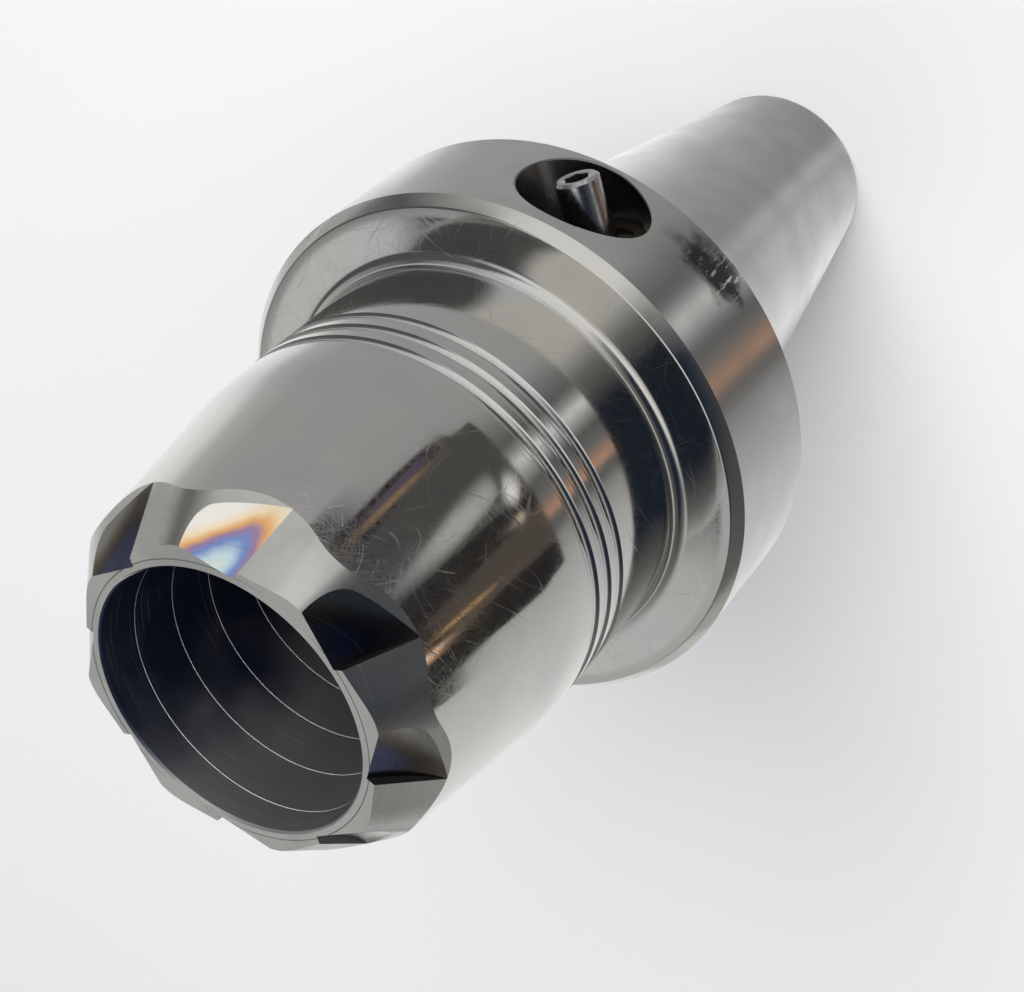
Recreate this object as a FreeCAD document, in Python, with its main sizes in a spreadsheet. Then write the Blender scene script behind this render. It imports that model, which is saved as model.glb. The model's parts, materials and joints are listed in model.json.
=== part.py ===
import FreeCAD, Part
import math
import os
from FreeCAD import Placement, Rotation, Vector

# Side-actuated collet chuck holder on a 7/24 taper shank.
# Millimetres. Z runs up the spindle axis from the small end of the shank (Z = 0) to the nose face.
# The worm spindle lies along X, on the -Y side of the axis; its key socket faces +X.

doc = FreeCAD.newDocument("ColletChuckHolder")
sheet = doc.addObject("Spreadsheet::Sheet", "Sizes")

# Sizes that are set by themselves: name, value, meaning.
DRIVING = (
    # shank
    ("shank_length", 103.0, "taper length, from the small end to the flange"),
    ("gauge_radius", 34.925, "taper radius at the flange"),
    ("taper_slope", 0.145833, "radius lost per millimetre of shank, half of 7/24"),
    ("shank_chamfer", 1.0, "chamfer at the small end"),
    ("drawbar_radius", 10.5, "minor radius of the drawbar thread"),
    ("drawbar_depth", 50.0, "depth of the drawbar thread"),
    ("pilot_radius", 12.6, "pilot counterbore at the small end"),
    ("pilot_depth", 8.0, "depth of the pilot counterbore"),
    ("centre_bore_radius", 7.0, "centre bore above the drawbar thread"),
    # flange
    ("flange_radius", 50.0, "outside of the flange"),
    ("flange_width", 26.3, "flange, from its back face to its front face"),
    ("bevel_length", 1.95, "front bevel of the flange along the axis"),
    ("bevel_drop", 1.75, "front bevel of the flange across the axis"),
    ("back_chamfer", 0.4, "chamfer on the back edge of the flange"),
    ("neck_fillet", 2.4, "fillet between neck and flange"),
    # neck and nose
    ("nose_length", 76.2, "nose face to the flange's front face"),
    ("neck_radius", 38.0, "cylinder between the flange and the long cone"),
    ("long_cone_length", 39.25, "nose face to the end of the long cone"),
    ("nose_cone_length", 7.0, "nose face to the start of the long cone"),
    ("nose_cone_radius", 33.4, "radius where the nose cone meets the long cone"),
    ("nose_edge_radius", 28.1, "outer edge of the nose face"),
    ("face_line_radius", 25.5, "fine turned line on the nose face"),
    ("face_line_size", 0.2, "width and depth of that line"),
    ("groove_first", 47.25, "nose face to the first grip groove"),
    ("groove_pitch", 4.15, "spacing of the grip grooves"),
    ("groove_width", 2.75, "width of a grip groove"),
    ("groove_depth", 0.8, "depth of a grip groove"),
    # nose flats and spanner notches
    ("flat_distance", 26.65, "axis to a flat, at the nose face"),
    ("flat_angle", 36.0, "lean of the flats from the axis"),
    ("notch_distance", 25.06, "axis to a notch floor, at the nose face"),
    ("notch_end_distance", 33.5, "axis to a notch floor, where it runs out"),
    ("notch_length", 9.45, "nose face to where a notch runs out"),
    ("notch_tilt", 6.5, "turn of the notch floor about the axis"),
    ("notch_wall_lean", 19.8, "turn of the notch wall from the radius through its foot"),
    ("notch_wheel_radius", 45.0, "radius of the wheel that cuts the notches"),
    ("notch_width", 16.0, "width of that wheel"),
    ("notch_side_room", 6.0, "wheel past the foot of the wall, trimmed along the wall"),
    ("notch_angle", -27.4, "angle of the first notch wall about the axis"),
    # collet seat and mechanism bore
    ("mouth_radius", 24.1, "collet seat at the mouth"),
    ("mouth_chamfer", 0.35, "chamfer at the mouth"),
    ("seat_depth", 64.0, "depth of the tapered seat"),
    ("seat_end_radius", 20.1, "small end of the seat"),
    ("cavity_radius", 19.7, "mechanism bore below the seat"),
    ("tail_bore_radius", 12.4, "bore for the tail of the draw sleeve"),
    # worm spindle and its bore
    ("worm_height", 11.4, "flange back face to the worm axis"),
    ("key_bore_radius", 10.09, "bore that holds the worm spindle"),
    ("key_bore_depth", 27.6, "depth of that bore past the spindle axis plane"),
    ("tooth_module", 1.2, "axial module of worm and wheel"),
    ("worm_pitch_radius", 8.13, "pitch radius of the worm"),
    ("worm_tip_height", 1.02, "thread above the pitch line"),
    ("worm_root_depth", 1.5, "thread below the pitch line"),
    ("worm_half_length", 13.0, "half the threaded length"),
    ("thread_thinning", 0.25, "backlash taken from the thread"),
    ("gap_widening", 0.15, "backlash added to the wheel's gaps"),
    ("worm_collar", 1.0, "plain collar at each end of the thread"),
    ("spindle_radius", 3.9, "journals and drive end of the worm"),
    ("spindle_set_in", 4.9, "drive end, in from the outside of the flange"),
    ("spindle_chamfer", 0.5, "chamfer on the drive end"),
    ("socket_width", 4.0, "hexagon socket across its flats"),
    ("socket_mouth_radius", 2.7, "countersink at the mouth of the socket"),
    ("socket_mouth_depth", 0.6, "depth of that countersink"),
    ("socket_depth", 5.0, "depth of the hexagon socket"),
    ("washer_thickness", 1.2, "worm thrust washers"),
    ("washer_radius", 9.4, "outside of the worm thrust washers"),
    ("bush_set_in", 17.1, "outer face of the front bush, in from the outside of the flange"),
    ("seal_recess_radius", 6.7, "recess for the spindle seal"),
    ("seal_recess_depth", 3.4, "depth of the seal recess"),
    ("seal_height", 2.4, "spindle seal"),
    ("clip_thickness", 1.1, "retaining ring"),
    ("clip_bite", 0.6, "depth of the retaining ring's groove"),
    ("clip_width", 2.0, "retaining ring, across its section"),
    ("clip_gap", 60.0, "opening angle of the retaining ring"),
    # worm wheel and its bearings
    ("wheel_teeth", 30, "teeth of the worm wheel"),
    ("worm_starts", 2, "threads on the worm"),
    ("wheel_tip_height", 1.1, "tooth above the pitch circle"),
    ("wheel_root_depth", 1.5, "tooth below the pitch circle"),
    ("wheel_face", 12.4, "width of the toothed rim"),
    ("hub_radius", 16.2, "hub below the rim"),
    ("hub_length", 8.1, "length of the hub"),
    ("sleeve_radius", 12.0, "threaded stem of the draw sleeve"),
    ("thread_clearance", 0.05, "radial clearance of the draw thread"),
    ("bearing_gap", 0.05, "clearance between parts that turn on each other"),
    ("end_gap", 0.4, "inner end of the worm spindle to the floor of its bore"),
    ("base_washer_thickness", 2.0, "bronze washer under the wheel"),
    ("race_thickness", 1.5, "thrust bearing races"),
    ("race_inner_radius", 12.7, "bore of the races"),
    ("race_outer_radius", 19.0, "outside of the races"),
    ("roller_radius", 1.0, "needle rollers"),
    ("roller_length", 4.6, "length of a needle roller"),
    ("roller_circle", 15.7, "axis to the middle of a roller"),
    ("roller_count", 24, "needle rollers"),
    ("cage_thickness", 1.2, "roller cage"),
    ("cage_margin", 0.6, "cage beyond the rollers at each end"),
    # retainer and draw sleeve
    ("retainer_height", 7.0, "threaded retainer above the bearing"),
    ("retainer_bore_radius", 12.3, "bore of the retainer"),
    ("fit_clearance", 0.03, "retainer and bushes in their bores"),
    ("spanner_hole_radius", 1.3, "spanner holes of the retainer"),
    ("seal_section", 0.95, "section radius of the O-rings"),
    ("seal_groove_width", 2.3, "O-ring grooves"),
    ("pin_radius", 1.5, "guide pins"),
    ("pin_circle", 16.0, "axis to the guide pins"),
    ("pin_embedded", 5.5, "guide pin inside the retainer"),
    ("pin_exposed", 9.0, "guide pin above the retainer"),
    ("pin_clearance", 0.05, "guide pin in its hole"),
    ("draw_travel", 5.0, "stroke of the draw sleeve"),
    ("travel_margin", 0.5, "air left at the end of the stroke"),
    ("head_radius", 18.4, "head of the draw sleeve"),
    ("head_height", 13.5, "height of that head"),
    ("collet_thread_radius", 13.0, "thread that takes the collet's tail"),
    ("collet_thread_depth", 8.5, "depth of that thread"),
    ("sleeve_bore_radius", 6.0, "bore of the draw sleeve"),
    ("tail_length", 9.0, "sleeve below the mechanism bore's floor"),
    ("head_chamfer", 0.8, "chamfer on the head of the sleeve"),
    # seal plug in the centre bore
    ("plug_length", 9.0, "length of the seal plug"),
    ("plug_clearance", 0.03, "plug in the centre bore"),
    ("plug_socket_width", 6.0, "hexagon socket of the plug"),
    ("plug_socket_depth", 4.0, "depth of that socket"),
    ("plug_set_back", 3.0, "plug below the tail bore's floor"),
)

# Stations worked out from the driving sizes: name, formula, meaning.
DERIVED = (
    ("shank_end_radius", "=gauge_radius - shank_length * taper_slope", "taper at the small end"),
    ("chamfered_end_radius", "=shank_end_radius - shank_chamfer", "face of the small end"),
    ("front_face_z", "=shank_length + flange_width", "flange's front face"),
    ("bevel_z", "=front_face_z - bevel_length", "start of the bevel"),
    ("bevel_radius", "=flange_radius - bevel_drop", "inner edge of the bevel"),
    ("back_edge_radius", "=flange_radius - back_chamfer", "back face's outer edge"),
    ("spindle_reach", "=flange_radius - spindle_set_in", "drive end, from the axis plane"),
    ("bush_reach", "=flange_radius - bush_set_in", "outer face of the front bush, from the axis plane"),
    ("back_edge_z", "=shank_length + back_chamfer", "top of the back chamfer"),
    ("nose_z", "=front_face_z + nose_length", "nose face"),
    ("nose_cone_z", "=nose_z - nose_cone_length", "start of the long cone"),
    ("long_cone_z", "=nose_z - long_cone_length", "end of the long cone"),
    ("mouth_edge_radius", "=mouth_radius + mouth_chamfer", "outer edge of the mouth chamfer"),
    ("mouth_z", "=nose_z - mouth_chamfer", "top of the seat"),
    ("face_line_outer", "=face_line_radius + face_line_size", "outer side of the face line"),
    ("face_line_z", "=nose_z - face_line_size", "floor of the face line"),
    ("seat_floor_z", "=nose_z - seat_depth", "small end of the seat"),
    ("worm_z", "=shank_length + worm_height", "height of the worm axis"),
    ("wheel_pitch_radius", "=wheel_teeth * tooth_module / 2", "pitch circle of the wheel"),
    ("worm_offset", "=wheel_pitch_radius + worm_pitch_radius", "worm axis to spindle axis"),
    ("wheel_tip_radius", "=wheel_pitch_radius + wheel_tip_height", "outside of the wheel"),
    ("rim_low_z", "=worm_z - wheel_face / 2", "bottom of the toothed rim"),
    ("rim_high_z", "=worm_z + wheel_face / 2", "top of the toothed rim"),
    ("hub_z", "=rim_low_z - hub_length", "bottom of the hub"),
    ("wheel_bore_radius", "=sleeve_radius + thread_clearance", "threaded bore of the wheel"),
    ("base_washer_z", "=hub_z - bearing_gap", "top of the bronze washer"),
    ("cavity_floor_z", "=base_washer_z - base_washer_thickness", "floor of the mechanism bore"),
    ("low_race_z", "=rim_high_z", "bottom of the turning race"),
    ("roller_low_z", "=low_race_z + race_thickness + bearing_gap", "underside of the rollers"),
    ("roller_mid_z", "=roller_low_z + roller_radius", "axis height of the rollers"),
    ("high_race_z", "=roller_low_z + 2 * roller_radius + bearing_gap", "bottom of the fixed race"),
    ("high_race_top_z", "=high_race_z + race_thickness", "top of the fixed race"),
    ("low_race_top_z", "=low_race_z + race_thickness", "top of the turning race"),
    ("cage_low_z", "=roller_mid_z - cage_thickness / 2", "bottom of the cage"),
    ("cage_high_z", "=roller_mid_z + cage_thickness / 2", "top of the cage"),
    ("cage_inner_radius", "=roller_circle - roller_length / 2 - cage_margin", "bore of the cage"),
    ("cage_outer_radius", "=roller_circle + roller_length / 2 + cage_margin", "outside of the cage"),
    ("retainer_z", "=high_race_top_z", "bottom of the retainer"),
    ("retainer_top_z", "=retainer_z + retainer_height", "top of the retainer"),
    ("retainer_radius", "=cavity_radius - fit_clearance", "outside of the retainer"),
    ("seal_circle", "=sleeve_radius + bearing_gap + seal_section", "middle of the retainer's O-ring"),
    ("seal_groove_radius", "=sleeve_radius + 2 * seal_section + 2 * bearing_gap", "its groove"),
    ("seal_mid_z", "=retainer_z + retainer_height / 2", "height of that O-ring"),
    ("seal_low_z", "=seal_mid_z - seal_groove_width / 2", "bottom of its groove"),
    ("seal_high_z", "=seal_mid_z + seal_groove_width / 2", "top of its groove"),
    ("pin_low_z", "=retainer_top_z - pin_embedded", "foot of the guide pins"),
    ("head_z", "=retainer_top_z + draw_travel + travel_margin", "underside of the sleeve's head"),
    ("head_top_z", "=head_z + head_height", "top of the sleeve"),
    ("head_chamfer_z", "=head_top_z - head_chamfer", "start of the head's chamfer"),
    ("head_chamfer_radius", "=head_radius - head_chamfer", "inner edge of that chamfer"),
    ("collet_thread_z", "=head_top_z - collet_thread_depth", "floor of the collet thread"),
    ("tail_z", "=cavity_floor_z - tail_length", "foot of the sleeve"),
    ("tail_floor_z", "=tail_z - draw_travel - travel_margin", "floor of the tail bore"),
    ("tail_seal_circle", "=tail_bore_radius - bearing_gap - seal_section", "tail O-ring"),
    ("tail_groove_radius", "=tail_bore_radius - 2 * seal_section - 2 * bearing_gap", "its groove"),
    ("tail_seal_z", "=tail_z + tail_length / 2", "height of the tail O-ring"),
    ("tail_seal_low_z", "=tail_seal_z - seal_groove_width / 2", "bottom of its groove"),
    ("tail_seal_high_z", "=tail_seal_z + seal_groove_width / 2", "top of its groove"),
    ("plug_top_z", "=tail_floor_z - plug_set_back", "top of the seal plug"),
    ("plug_radius", "=centre_bore_radius - plug_clearance", "outside of the seal plug"),
    ("worm_root_radius", "=worm_pitch_radius - worm_root_depth", "core of the worm"),
    ("worm_tip_radius", "=worm_pitch_radius + worm_tip_height", "outside of the thread"),
    ("worm_end", "=worm_half_length + worm_collar", "end of the worm's collar"),
    ("front_washer_x", "=worm_end + bearing_gap", "inner face of the front washer"),
    ("front_bush_x", "=front_washer_x + washer_thickness", "inner face of the front bush"),
    ("rear_bush_length", "=key_bore_depth - front_bush_x", "length of the rear bush"),
    ("bush_bore_radius", "=spindle_radius + bearing_gap", "bore of the bushes"),
    ("seal_recess_x", "=bush_reach - seal_recess_depth", "floor of the seal recess"),
    ("bush_radius", "=key_bore_radius - fit_clearance", "outside of the bushes"),
    ("clip_groove_radius", "=key_bore_radius + clip_bite", "floor of the ring's groove"),
    ("worm_low_end", "=end_gap - key_bore_depth", "inner end of the spindle"),
    ("worm_low_collar", "=-worm_end", "inner end of the worm's collar"),
    ("spindle_shoulder", "=spindle_reach - spindle_chamfer", "start of the drive end's chamfer"),
    ("spindle_tip_radius", "=spindle_radius - spindle_chamfer", "face of the drive end"),
    ("socket_mouth_x", "=spindle_reach - socket_mouth_depth", "point of the countersink"),
    ("rear_bush_low", "=-key_bore_depth", "inner face of the rear bush"),
    ("rear_bush_high", "=-front_bush_x", "outer face of the rear bush"),
    ("rear_washer_high", "=-front_washer_x", "outer face of the rear washer"),
    ("seal_outer_radius", "=seal_recess_radius - bearing_gap", "outside of the spindle seal"),
    ("seal_top_x", "=seal_recess_x + seal_height", "outer face of the spindle seal"),
    ("zero", "=0", "the axis, and the foot of the shank"),
)


def fill_sheet():
    """Writes both tables into the sheet, one row to a size, and gives each value its alias."""
    for row, (name, value, meaning) in enumerate(DRIVING + DERIVED, start=1):
        sheet.set("A%d" % row, meaning)
        sheet.set("B%d" % row, str(value))
        sheet.setAlias("B%d" % row, name)
    doc.recompute()


def size(name):
    """A size read back from the sheet, as a plain number."""
    return float(sheet.get(name))


def bind(item, **properties):
    """Ties properties of an object to formulas over the sheet's names."""
    for name, formula in properties.items():
        item.setExpression(name, formula)
    return item


def origin_item(body, role):
    """The origin plane or axis of a body that has the given role."""
    return next(item for item in body.Origin.OriginFeatures if item.Role == role)


def sketch_on(body, name, role):
    """An empty sketch on one of the body's own origin planes."""
    sketch = body.newObject("Sketcher::SketchObject", name)
    sketch.AttachmentSupport = [(origin_item(body, role), "")]
    sketch.MapMode = "FlatFace"
    return sketch


def draw_outline(sketch, corners):
    """A closed outline whose corners are (across, up) pairs of sheet names or formulas' names."""
    from Sketcher import Constraint
    points = [Vector(size(across), size(up), 0) for across, up in corners]
    count = len(points)
    for index, point in enumerate(points):
        sketch.addGeometry(Part.LineSegment(point, points[(index + 1) % count]), False)
    for index in range(count):
        sketch.addConstraint(Constraint("Coincident", index, 2, (index + 1) % count, 1))
    for index, (across, up) in enumerate(corners):
        for kind, name in (("DistanceX", across), ("DistanceY", up)):
            place = sketch.addConstraint(Constraint(kind, -1, 1, index, 1, size(name)))
            sketch.setExpression("Constraints[%d]" % place, "Sizes." + name)


def turned(label, corners):
    """A turned piece: a closed outline of (radius, height) names, revolved about the Z axis."""
    body = doc.addObject("PartDesign::Body", label)
    sketch = sketch_on(body, label + "_outline", "XZ_Plane")
    draw_outline(sketch, corners)
    turn = body.newObject("PartDesign::Revolution", label + "_turn")
    turn.Profile = sketch
    turn.ReferenceAxis = (sketch, ["V_Axis"])
    turn.Angle = 360.0
    body.Tip = turn
    doc.recompute()
    return body


def ring(label, inner, outer, low, high):
    """A plain turned ring between two radii and two heights."""
    return turned(label, ((inner, low), (outer, low), (outer, high), (inner, high)))


def joined(kind, name, shapes):
    """Fuses several objects, or puts them side by side in one compound."""
    item = doc.addObject(kind, name)
    if kind == "Part::MultiFuse":
        item.Shapes = shapes
    else:
        item.Links = shapes
    return item


def cut(name, base, tool):
    """The base with the tool taken away."""
    item = doc.addObject("Part::Cut", name)
    item.Base = base
    item.Tool = tool
    return item


def rod(name, radius, length, centre=Vector(0, 0, 0), direction=Vector(0, 0, 1)):
    """A cylinder whose radius and length are formulas, starting at centre."""
    item = doc.addObject("Part::Cylinder", name)
    bind(item, Radius=radius, Height=length)
    item.Placement = Placement(centre, Rotation(Vector(0, 0, 1), direction))
    return item


def hexagon(name, width, length, centre):
    """A six-sided prism for a key socket, measured across its flats."""
    item = doc.addObject("Part::Prism", name)
    item.Polygon = 6
    bind(item, Circumradius="%s / sqrt(3)" % width, Height=length)
    item.Placement = Placement(centre, Rotation())
    return item


fill_sheet()

Z_AXIS = Vector(0, 0, 1)
FULL_TURN = 360.0
# Pieces on the worm axis are drawn upright and then laid along X, their own X axis towards the wheel.
WORM_PLACE = Placement(
    Vector(0, -size("worm_offset"), size("worm_z")),
    Rotation(Vector(0, 1, 0), Vector(0, 0, 1), Vector(1, 0, 0), "ZXY"),
)


def lay_on_worm_axis(item):
    """Moves a piece drawn about Z onto the worm axis."""
    item.Placement = WORM_PLACE.multiply(item.Placement)
    return item


# ---- chuck body ------------------------------------------------------------------------------

def turned_blank():
    """The body as it leaves the lathe, with its neck fillet."""
    blank = turned("body_blank", (
        ("pilot_radius", "zero"), ("chamfered_end_radius", "zero"),
        ("shank_end_radius", "shank_chamfer"), ("gauge_radius", "shank_length"),
        ("back_edge_radius", "shank_length"), ("flange_radius", "back_edge_z"),
        ("flange_radius", "bevel_z"), ("bevel_radius", "front_face_z"),
        ("neck_radius", "front_face_z"), ("neck_radius", "long_cone_z"),
        ("nose_cone_radius", "nose_cone_z"), ("nose_edge_radius", "nose_z"),
        ("face_line_outer", "nose_z"), ("face_line_radius", "face_line_z"),
        ("face_line_radius", "nose_z"), ("mouth_edge_radius", "nose_z"),
        ("mouth_radius", "mouth_z"), ("seat_end_radius", "seat_floor_z"),
        ("cavity_radius", "seat_floor_z"), ("cavity_radius", "cavity_floor_z"),
        ("tail_bore_radius", "cavity_floor_z"), ("tail_bore_radius", "tail_floor_z"),
        ("centre_bore_radius", "tail_floor_z"), ("centre_bore_radius", "drawbar_depth"),
        ("drawbar_radius", "drawbar_depth"), ("drawbar_radius", "pilot_depth"),
        ("pilot_radius", "pilot_depth"),
    ))
    corner = Vector(0, 0, size("front_face_z"))
    names = [
        "Edge%d" % number
        for number, edge in enumerate(blank.Shape.Edges, start=1)
        if isinstance(edge.Curve, Part.Circle)
        and abs(edge.Curve.Radius - size("neck_radius")) < 1e-6
        and (edge.Curve.Center - corner).Length < 1e-6
    ]
    turn = blank.Tip
    fillet = blank.newObject("PartDesign::Fillet", "neck_round")
    fillet.Base = (turn, names)
    bind(fillet, Radius="Sizes.neck_fillet")
    blank.Tip = fillet
    doc.recompute()
    return blank


def grip_grooves(count=3):
    """Round-bottomed grooves round the neck: an ellipse turned about the Z axis for each."""
    upright = Rotation(Vector(0, 0, 1), Vector(1, 0, 0), Vector(0, 1, 0), "ZXY")
    rings = []
    for index in range(count):
        depth = size("groove_first") + index * size("groove_pitch")
        section = doc.addObject("Part::Ellipse", "groove_section_%d" % (index + 1))
        bind(section, MajorRadius="Sizes.groove_width / 2", MinorRadius="Sizes.groove_depth")
        section.Placement = Placement(Vector(size("neck_radius"), 0, size("nose_z") - depth), upright)
        item = doc.addObject("Part::Revolution", "grip_groove_%d" % (index + 1))
        item.Source = section
        item.Axis = Z_AXIS
        item.Base = Vector(0, 0, 0)
        item.Angle = FULL_TURN
        item.Solid = True
        rings.append(item)
    return rings


NOTCH_COUNT = 8


def nose_flat(index):
    """A block whose underside is one leaning flat of the nose, centred on a notch wall."""
    angle = size("notch_angle") - index * FULL_TURN / NOTCH_COUNT
    block_size = 40.0
    block = doc.addObject("Part::Box", "nose_flat_%d" % (index + 1))
    block.Length, block.Width, block.Height = block_size, block_size, block_size
    # Local axes: X across the flat, Y down its slope, Z outwards.
    inside = Placement(Vector(-block_size / 2, -block_size / 2, 0), Rotation())
    lean = Rotation(Vector(0, 1, 0), 90.0 - size("flat_angle"))
    square = Rotation(Z_AXIS, 90.0)
    stand = Placement(Vector(size("flat_distance"), 0, size("nose_z")), lean.multiply(square))
    block.Placement = Placement(Vector(), Rotation(Z_AXIS, angle)).multiply(stand).multiply(inside)
    return block


def notch_wheel(index):
    """The tool that cuts one notch: a wheel whose rim leaves the floor, trimmed along the short wall."""
    wall = size("notch_angle") - index * FULL_TURN / NOTCH_COUNT
    facing = math.radians(wall - size("notch_tilt"))
    outward = Vector(math.cos(facing), math.sin(facing), 0)
    across = Vector(math.sin(facing), -math.cos(facing), 0)
    # Circle through both ends of the floor, in the plane of distance from the axis and depth.
    near, far = size("notch_distance"), size("notch_end_distance")
    length, radius = size("notch_length"), size("notch_wheel_radius")
    chord = math.hypot(far - near, length)
    lift = math.sqrt(radius ** 2 - (chord / 2) ** 2)
    distance = (near + far) / 2 + lift * length / chord
    height = size("nose_z") - length / 2 + lift * (far - near) / chord
    wall_shift = near * math.sin(math.radians(size("notch_tilt")))
    start = outward * distance + Z_AXIS * height - across * (wall_shift + size("notch_width"))
    wheel = rod("notch_wheel_%d" % (index + 1), "Sizes.notch_wheel_radius",
                "Sizes.notch_width + Sizes.notch_side_room", start, across)
    # The wall stands along Z; the block beyond it is kept out of the wheel.
    span = 2 * radius + far
    block = doc.addObject("Part::Box", "notch_side_%d" % (index + 1))
    block.Length, block.Width, block.Height = span, span, 2 * span
    foot = near * math.sin(math.radians(size("notch_wall_lean")))
    turned_to_wall = Placement(Vector(), Rotation(Z_AXIS, wall - size("notch_wall_lean")))
    block.Placement = turned_to_wall.multiply(
        Placement(Vector(0, foot - span, size("nose_z") - span), Rotation()))
    return cut("notch_tool_%d" % (index + 1), wheel, block)


def key_bore():
    """The bore across the flange for the worm spindle, with the retaining ring's groove."""
    well = rod("key_bore_well", "Sizes.key_bore_radius",
               "Sizes.key_bore_depth + Sizes.flange_radius", Vector(0, 0, -size("key_bore_depth")))
    groove = rod("clip_groove", "Sizes.clip_groove_radius",
                 "Sizes.clip_thickness + 2 * Sizes.bearing_gap",
                 Vector(0, 0, size("bush_reach") - size("bearing_gap")))
    return [lay_on_worm_axis(well), lay_on_worm_axis(groove)]


def make_chuck_body():
    cutters = grip_grooves() + key_bore()
    cutters += [nose_flat(index) for index in range(NOTCH_COUNT)]
    cutters += [notch_wheel(index) for index in range(NOTCH_COUNT)]
    tools = joined("Part::MultiFuse", "body_cutters", cutters)
    return cut("chuck_body", turned_blank(), tools)


# ---- worm spindle ----------------------------------------------------------------------------

def worm_thread(index, starts):
    """One start of the worm thread: a trapezium swept along a helix on the worm's core."""
    pitch = math.pi * size("tooth_module")
    flank = math.tan(math.radians(20.0))
    overlap = 0.3
    root = size("worm_root_radius") - overlap
    tip = size("worm_tip_radius")
    at_pitch = pitch / 2 - size("thread_thinning")
    wide = at_pitch / 2 + (size("worm_pitch_radius") - root) * flank
    narrow = at_pitch / 2 - size("worm_tip_height") * flank
    turns_each_way = 2
    start = -turns_each_way * starts * pitch
    corners = [Vector(root, 0, start - wide), Vector(tip, 0, start - narrow),
               Vector(tip, 0, start + narrow), Vector(root, 0, start + wide)]
    section = doc.addObject("Part::Feature", "thread_section_%d" % index)
    section.Shape = Part.makePolygon(corners + corners[:1])
    spine = doc.addObject("Part::Helix", "thread_spine_%d" % index)
    spine.Pitch = starts * pitch
    spine.Height = -2 * start
    spine.Radius = size("worm_pitch_radius")
    spine.Placement = Placement(Vector(0, 0, start), Rotation())
    thread = doc.addObject("Part::Sweep", "thread_%d" % index)
    thread.Sections = [section]
    thread.Spine = (spine, ["Edge1"])
    thread.Solid = True
    thread.Frenet = True
    doc.recompute()
    turned_start = Placement(Vector(), Rotation(Z_AXIS, index * FULL_TURN / starts))
    thread.Placement = turned_start.multiply(thread.Placement)
    return thread


def make_worm():
    """Spindle with a two-start thread, two journals and a hexagon socket in its drive end."""
    starts = int(size("worm_starts"))
    core = turned("worm_core", (
        ("zero", "worm_low_end"), ("spindle_radius", "worm_low_end"),
        ("spindle_radius", "worm_low_collar"), ("worm_root_radius", "worm_low_collar"),
        ("worm_root_radius", "worm_end"), ("spindle_radius", "worm_end"),
        ("spindle_radius", "spindle_shoulder"), ("spindle_tip_radius", "spindle_reach"),
        ("socket_mouth_radius", "spindle_reach"), ("zero", "socket_mouth_x"),
    ))
    threads = joined("Part::MultiFuse", "worm_threads",
                     [worm_thread(index, starts) for index in range(starts)])
    trim = rod("thread_trim", "Sizes.worm_tip_radius + 1", "2 * Sizes.worm_half_length",
               Vector(0, 0, -size("worm_half_length")))
    trimmed = doc.addObject("Part::Common", "trimmed_threads")
    trimmed.Base, trimmed.Tool = threads, trim
    solid = joined("Part::MultiFuse", "worm_solid", [core, trimmed])
    socket = hexagon("worm_socket", "Sizes.socket_width", "Sizes.socket_depth",
                     Vector(0, 0, size("spindle_reach") - size("socket_depth")))
    return lay_on_worm_axis(cut("worm_spindle", solid, socket))


def make_retaining_ring():
    """Split ring in the key bore's groove, its opening turned away from the wheel."""
    outer = rod("clip_disc", "Sizes.clip_groove_radius - Sizes.bearing_gap", "Sizes.clip_thickness")
    inner = rod("clip_hole", "Sizes.clip_groove_radius - Sizes.clip_width - Sizes.bearing_gap",
                "Sizes.clip_thickness")
    opening = doc.addObject("Part::Cylinder", "clip_opening")
    bind(opening, Radius="Sizes.clip_groove_radius", Height="Sizes.clip_thickness",
         Angle="Sizes.clip_gap")
    opening.Placement = Placement(Vector(), Rotation(Z_AXIS, 180.0 - size("clip_gap") / 2))
    tools = joined("Part::MultiFuse", "clip_cutters", [inner, opening])
    clip = cut("retaining_ring", outer, tools)
    clip.Placement = Placement(Vector(0, 0, size("bush_reach")), Rotation())
    return lay_on_worm_axis(clip)


def make_worm_supports():
    """Bushes, thrust washers and seal that carry the worm spindle."""
    pieces = [
        turned("worm_front_bush", (
            ("bush_bore_radius", "front_bush_x"), ("bush_radius", "front_bush_x"),
            ("bush_radius", "bush_reach"), ("seal_recess_radius", "bush_reach"),
            ("seal_recess_radius", "seal_recess_x"), ("bush_bore_radius", "seal_recess_x"),
        )),
        ring("worm_rear_bush", "bush_bore_radius", "bush_radius", "rear_bush_low", "rear_bush_high"),
        ring("worm_front_washer", "bush_bore_radius", "washer_radius",
             "front_washer_x", "front_bush_x"),
        ring("worm_rear_washer", "bush_bore_radius", "washer_radius",
             "rear_bush_high", "rear_washer_high"),
        ring("spindle_seal", "bush_bore_radius", "seal_outer_radius",
             "seal_recess_x", "seal_top_x"),
    ]
    return [lay_on_worm_axis(piece) for piece in pieces]


# ---- worm wheel and bearings -----------------------------------------------------------------

def gap_flank(points=7):
    """Half of one tooth gap as (sideways, distance from the axis) pairs, from root to outside.

    The flank is the involute of the base circle. Below the base circle it runs straight to the root.
    """
    pressure = math.radians(20.0)
    pitch_radius = size("wheel_pitch_radius")
    base = pitch_radius * math.cos(pressure)
    root = pitch_radius - size("wheel_root_depth")
    outside = size("wheel_tip_radius") + 0.6
    half = (math.pi * size("tooth_module") / 2 + size("gap_widening")) / 2 / pitch_radius
    at_pitch = math.tan(pressure) - pressure
    flank = []
    for step in range(points):
        radius = base + (outside - base) * step / (points - 1)
        turn = math.acos(base / radius)
        angle = half + math.tan(turn) - turn - at_pitch
        flank.append((radius * math.sin(angle), radius * math.cos(angle)))
    return [(flank[0][0] * root / base, flank[0][1] * root / base)] + flank


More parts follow.
